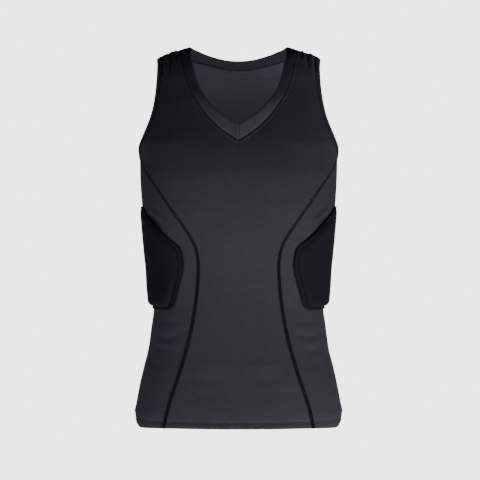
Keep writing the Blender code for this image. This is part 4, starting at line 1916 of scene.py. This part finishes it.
@dataclass
class Stitching:
    """All the shirt's visible stitches."""

    shop: Workshop
    seam_thread: float = 0.24
    shoulder_thread: float = 0.45
    pad_thread: float = 0.26
    armhole_thread: float = 0.22
    hem_thread: float = 0.24
    neck_thread: float = 0.2
    stitch: float = 2.6
    pad_stitch: float = 2.8
    hem_stitch: float = 2.9
    neck_width: float = 1.2
    neck_reverse_width: float = 3.6
    shoulder_width: float = 7.0
    shoulder_seam: tuple[float, float] = (6.6, 21.6)
    painted_shadow_width: float = 6.5

    def offset(self, places: Array, distance: Array | float) -> Array:
        """Move a line of places sideways on the cloth.

        Args:
            places: the line.
            distance: how far, to the right of its run as seen from outside, all along or at each
                place.

        Returns:
            The moved points of the form.
        """
        points = self.shop.form.points(places)
        aside = np.cross(unit_rows(np.gradient(points, axis=0)), self.shop.form.outward(points))
        return self.shop.form.settle(points + np.reshape(distance, (-1, 1)) * aside)

    def cover_seam(
        self, work: Needlework, places: Array, lifts: Array, widths: Array, mirrored: bool
    ) -> None:
        """Sew a flat cover-stitched seam.

        Args:
            work: the threads to add it to.
            places: the seam's places.
            lifts: how far the cloth's face stands off the form along it.
            widths: how wide the seam's stitch is along it.
            mirrored: whether it belongs to the wearer's right half.
        """
        path, normals = self.shop.surface(places, lifts + 0.15, mirrored)
        work.cross(path, normals, widths, 2.0)
        rows = (-0.5, 0.0, 0.5) if widths.min() > 3 else (-0.5, 0.5)
        for shift in rows:
            spots = self.offset(places, shift * widths)
            line, ups = self.shop.raised(spots, 0.0, mirrored)
            work.stitch(line + ups * (lifts + 0.45)[:, None], ups, self.stitch)

    def build(self) -> list[bpy.types.Object]:
        """Sew every seam and hem.

        Returns:
            The objects.
        """
        seams = self.shop.seams
        sewn = []
        for side in Side:
            for where, line in (("front", seams.front_seam), ("back", seams.back_seam)):
                lifts = np.array([faces_of_wall(level)[0] for level in line[:, 1]])
                widths = np.interp(line[:, 1], *zip(*SEAM_WIDTHS))
                work = Needlework(self.seam_thread)
                self.cover_seam(work, line, lifts, widths, side.mirrored)
                sewn.append(work.finish(f"side_seam_{where}_{side.value}"))
            work = Needlework(self.shoulder_thread)
            levels = np.linspace(*self.shoulder_seam, 25)
            strap = np.column_stack((np.full_like(levels, 90.0), levels))
            lifts, widths = np.full_like(levels, 0.3), np.full_like(levels, self.shoulder_width)
            self.cover_seam(work, strap, lifts, widths, side.mirrored)
            sewn.append(work.finish(f"shoulder_seam_{side.value}"))
            sewn.append(self.armhole_rows(side))
            sewn.append(self.pad_rows(RibPad(self.shop, side)))
        sewn.append(self.hem_rows())
        sewn.append(self.neck_rows())
        return sewn

    def pad_rows(self, pad: RibPad) -> bpy.types.Object:
        """Sew a pad's border down, and lay dense near-black cross stitches along its slanting edges as a
        painted shadow where the cloth buckles over them.

        Args:
            pad: the pad.

        Returns:
            The object.
        """
        work = Needlework(self.pad_thread)
        for inset, lift in PAD_ROWS:
            line, ups = self.on_border(pad, closed(pad.outline(inset, 0.0)), lift)
            work.stitch(line, ups, self.pad_stitch)
        # Dense near-black cross stitches along the slanting edges: a painted shadow under the buckled
        # cloth.
        for ahead in (1, -1):
            start, end = np.array(PAINTED_SHADOW_STITCHES) * (ahead, 1)
            spots = start + (end - start) * np.linspace(0, 1, 40)[:, None]
            line, ups = self.on_border(pad, spots, 0.15)
            widths = 1.0 + self.painted_shadow_width * np.sin(np.linspace(0, math.pi, len(line)))
            work.cross(line, ups, widths, 1.0)
        return work.finish(f"rib_pad_stitches_{pad.side.value}")

    def on_border(self, pad: RibPad, spots: Array, lift: float) -> tuple[Array, Array]:
        """Lay a line on a pad's border.

        Args:
            pad: the pad.
            spots: the line's reaches from the side line and levels.
            lift: how far it stands off the border.

        Returns:
            The line's points and normals.
        """
        form, flip = self.shop.form, half_flip(pad.side.mirrored)
        points = form.points(form.round_the_side(spots[:, 0], spots[:, 1]))
        normals = form.outward(points)
        points = points + normals * (PAD_CLEAR + pad.border_wall + lift)
        return points * flip, normals * flip

    def armhole_rows(self, side: Side) -> bpy.types.Object:
        """Sew the row round an armhole's binding.

        Args:
            side: which armhole.

        Returns:
            The object.
        """
        edge, seam = self.shop.seams.armhole_rings()
        work = Needlework(self.armhole_thread)
        for share, lift, width in ARMHOLE_ROWS:
            places = edge * (1 - share) + seam * share
            path, normals = self.shop.surface(closed(places), lift, side.mirrored)
            work.stitch(path, normals, self.stitch)
            work.cross(path, normals, width, 1.6)
        return work.finish(f"armhole_stitches_{side.value}")

    def hem_rows(self) -> bpy.types.Object:
        """Sew the hem's twin rows.

        Returns:
            The object.
        """
        work = Needlework(self.hem_thread)
        angles = np.linspace(0, 180, 500)
        for level in HEM_ROWS:
            places = np.column_stack((angles, np.full_like(angles, level)))
            lift = faces_of_wall(level)[0] + 0.12
            left, left_up = self.shop.surface(places, lift)
            right, right_up = self.shop.surface(places[::-1], lift, True)
            work.stitch(np.vstack((left, right)), np.vstack((left_up, right_up)), self.hem_stitch)
        return work.finish("hem_stitches")

    def neck_rows(self) -> bpy.types.Object:
        """Sew the neck's seam, the row that holds it down, and its threads on the wrong side.

        Returns:
            The object.
        """
        _, places = self.shop.seams.neck_rings()
        spots = self.offset(places, -NECK_ROW)
        spots[:, 0] = np.maximum(spots[:, 0], 0.0)
        work = Needlework(self.neck_thread)
        for mirrored in (False, True):
            path, normals = self.shop.raised(spots, 0.05, mirrored)
            work.stitch(path, normals, self.stitch)
            widths = np.full(len(places), self.neck_width)
            self.cover_seam(work, places, np.full(len(places), -0.3), widths, mirrored)
            flip = half_flip(mirrored)
            inner = self.shop.form.points(places)
            ups = -self.shop.form.outward(inner)
            inner, ups = inner * flip, ups * flip
            depth = 1.55 - self.shop.relief.at(inner)
            work.cross(inner + ups * depth[:, None], ups, self.neck_reverse_width, 2.0)
        mitre = np.column_stack((np.zeros(9), np.linspace(150, 175, 9)))
        path, normals = self.shop.surface(mitre, np.linspace(2.2, -0.4, 9))
        work.stitch(path, normals, self.stitch)
        return work.finish("neck_stitches")

    def dress(self, sewn: list[bpy.types.Object]) -> None:
        """Give every row its thread.

        Args:
            sewn: the objects.
        """
        for piece in sewn:
            self.shop.dress(piece, "pad_thread" if "pad" in piece.name else "thread", "thread")


@dataclass(frozen=True)
class SoftLight:
    """One square soft light: where it hangs and points, its width in metres and its watts."""

    name: str
    place: tuple[float, float, float]
    target: tuple[float, float, float]
    size: float
    power: float

    def hang(self) -> None:
        """Hang the light, out of the camera's sight."""
        lamp = bpy.data.lights.new(self.name, "AREA")
        lamp.size = self.size
        lamp.energy = self.power
        holder = bpy.data.objects.new(self.name, lamp)
        holder.visible_camera = False
        bpy.context.scene.collection.objects.link(holder)
        holder.location = self.place
        aim = Vector(self.target) - Vector(self.place)
        holder.rotation_euler = aim.to_track_quat("-Z", "Y").to_euler()


LIGHTS = (
    SoftLight("key", (1.25, -1.2, -1.5), (0.04, 0, -0.5), 0.8, 48.0),
    SoftLight("fill", (-1.25, -0.85, -1.4), (0, 0, -0.5), 0.8, 18.0),
    SoftLight("front", (0.1, -2.9, -0.75), (0, 0, -0.1), 0.8, 5.5),
    SoftLight("inner", (0.0, -0.085, -0.07), (0, 0.1, -0.08), 0.08, 0.17),
    SoftLight("rear_left", (0.5, 2.4, -0.9), (0, 0, -0.35), 1.0, 24.0),
    SoftLight("rear_right", (-0.55, 2.4, -0.8), (0, 0, -0.35), 1.0, 17.0),
)


@dataclass(frozen=True)
class Studio:
    """The pale round cove, the soft lights and the camera."""

    camera_place: tuple[float, float, float] = (0.0025, -2.2, -0.3364)
    picture_width: float = 0.864
    film_width: float = 36.0
    cove_radius: float = 4.6
    cove_floor: float = -2.1
    cove_top: float = 2.2
    cove_bend: float = 0.9
    bend_steps: int = 12
    paper: float = 3.55
    glow: float = 0.06

    def build(self) -> None:
        """Set up the cove, the lights and the camera."""
        self.build_cove()
        for light in LIGHTS:
            light.hang()
        world = bpy.context.scene.world or bpy.data.worlds.new("studio")
        bpy.context.scene.world = world
        world.use_nodes = True
        world.node_tree.nodes["Background"].inputs[0].default_value = (0.03, 0.03, 0.03, 1)
        camera = bpy.data.objects.new("camera", bpy.data.cameras.new("camera"))
        bpy.context.scene.collection.objects.link(camera)
        camera.location = self.camera_place
        camera.rotation_euler = (math.radians(90), 0, 0)
        camera.data.sensor_width = self.film_width
        camera.data.lens = self.film_width * -self.camera_place[1] / self.picture_width
        bpy.context.scene.camera = camera

    def build_cove(self) -> None:
        """Spin the cove's profile into a floor that curves up into a wall."""
        radius = self.cove_radius - self.cove_bend
        bpy.ops.object.select_all(action="DESELECT")
        bpy.ops.mesh.primitive_circle_add(
            vertices=96, radius=radius, fill_type="NOTHING", location=(0, 0, self.cove_floor)
        )
        cove = bpy.context.object
        cove.name = cove.data.name = "cove"
        bpy.ops.object.mode_set(mode="EDIT")
        bpy.ops.mesh.select_all(action="SELECT")
        bpy.ops.mesh.edge_face_add()
        height = 0.0
        for step in range(1, self.bend_steps + 2):
            turn = math.pi / 2 * min(step, self.bend_steps) / self.bend_steps
            wider = self.cove_radius - self.cove_bend * (1 - math.sin(turn))
            bending = step <= self.bend_steps
            higher = self.cove_bend * (1 - math.cos(turn)) if bending else self.cove_top - self.cove_floor
            if step == 1:
                bpy.ops.mesh.select_mode(type="EDGE")
                bpy.ops.mesh.select_all(action="SELECT")
            bpy.ops.mesh.extrude_edges_move(TRANSFORM_OT_translate={"value": (0, 0, higher - height)})
            bpy.ops.transform.resize(value=(wider / radius, wider / radius, 1))
            radius, height = wider, higher
        bpy.ops.mesh.select_all(action="SELECT")
        bpy.ops.mesh.normals_make_consistent(inside=True)
        bpy.ops.object.mode_set(mode="OBJECT")
        bpy.ops.object.transform_apply(location=True, rotation=True, scale=True)
        bpy.ops.object.shade_smooth()
        dye = Dye("paper")
        dye.fix({"Base Color": (0.06, 0.06, 0.06, 1), "Roughness": 1.0, "Specular IOR Level": 0.0})
        dye.fix({"Emission Color": (1, 1, 1, 1)})
        seen = dye.nodes.new("ShaderNodeLightPath").outputs["Is Camera Ray"]
        brightness = dye.sum("MULTIPLY_ADD", seen, self.paper - self.glow, self.glow)
        dye.feed("Emission Strength", brightness)
        cove.data.materials.append(dye.material)


def main() -> None:
    """Build the shirt and its studio."""
    logging.basicConfig(level=logging.INFO, format="%(name)s: %(message)s")
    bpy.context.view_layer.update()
    form = WornForm()
    relief = Relief(form)
    seams = SeamLines(form)
    for mirror in (1, -1):
        for line in (seams.front_seam, seams.back_seam):
            relief.gather_along(form.points(line[::6]) * np.array((mirror, 1, 1)), 0.22)
    finishes = {finish.name: finish.material() for finish in FINISHES}
    shop = Workshop(form, relief, seams, finishes)
    pieces = [
        BodyPanel(shop, False, (0.36, 0.66), 0.128),
        BodyPanel(shop, True, (0.36, 0.67), 0.147),
        Neckband(shop),
    ]
    for side in Side:
        pieces += [SidePanel(shop, side), ArmholeBinding(shop, side), RibPad(shop, side)]
    for piece in pieces:
        piece.dress(piece.build())
    stitching = Stitching(shop)
    stitching.dress(stitching.build())
    Studio().build()


if __name__ == "__main__":
    main()
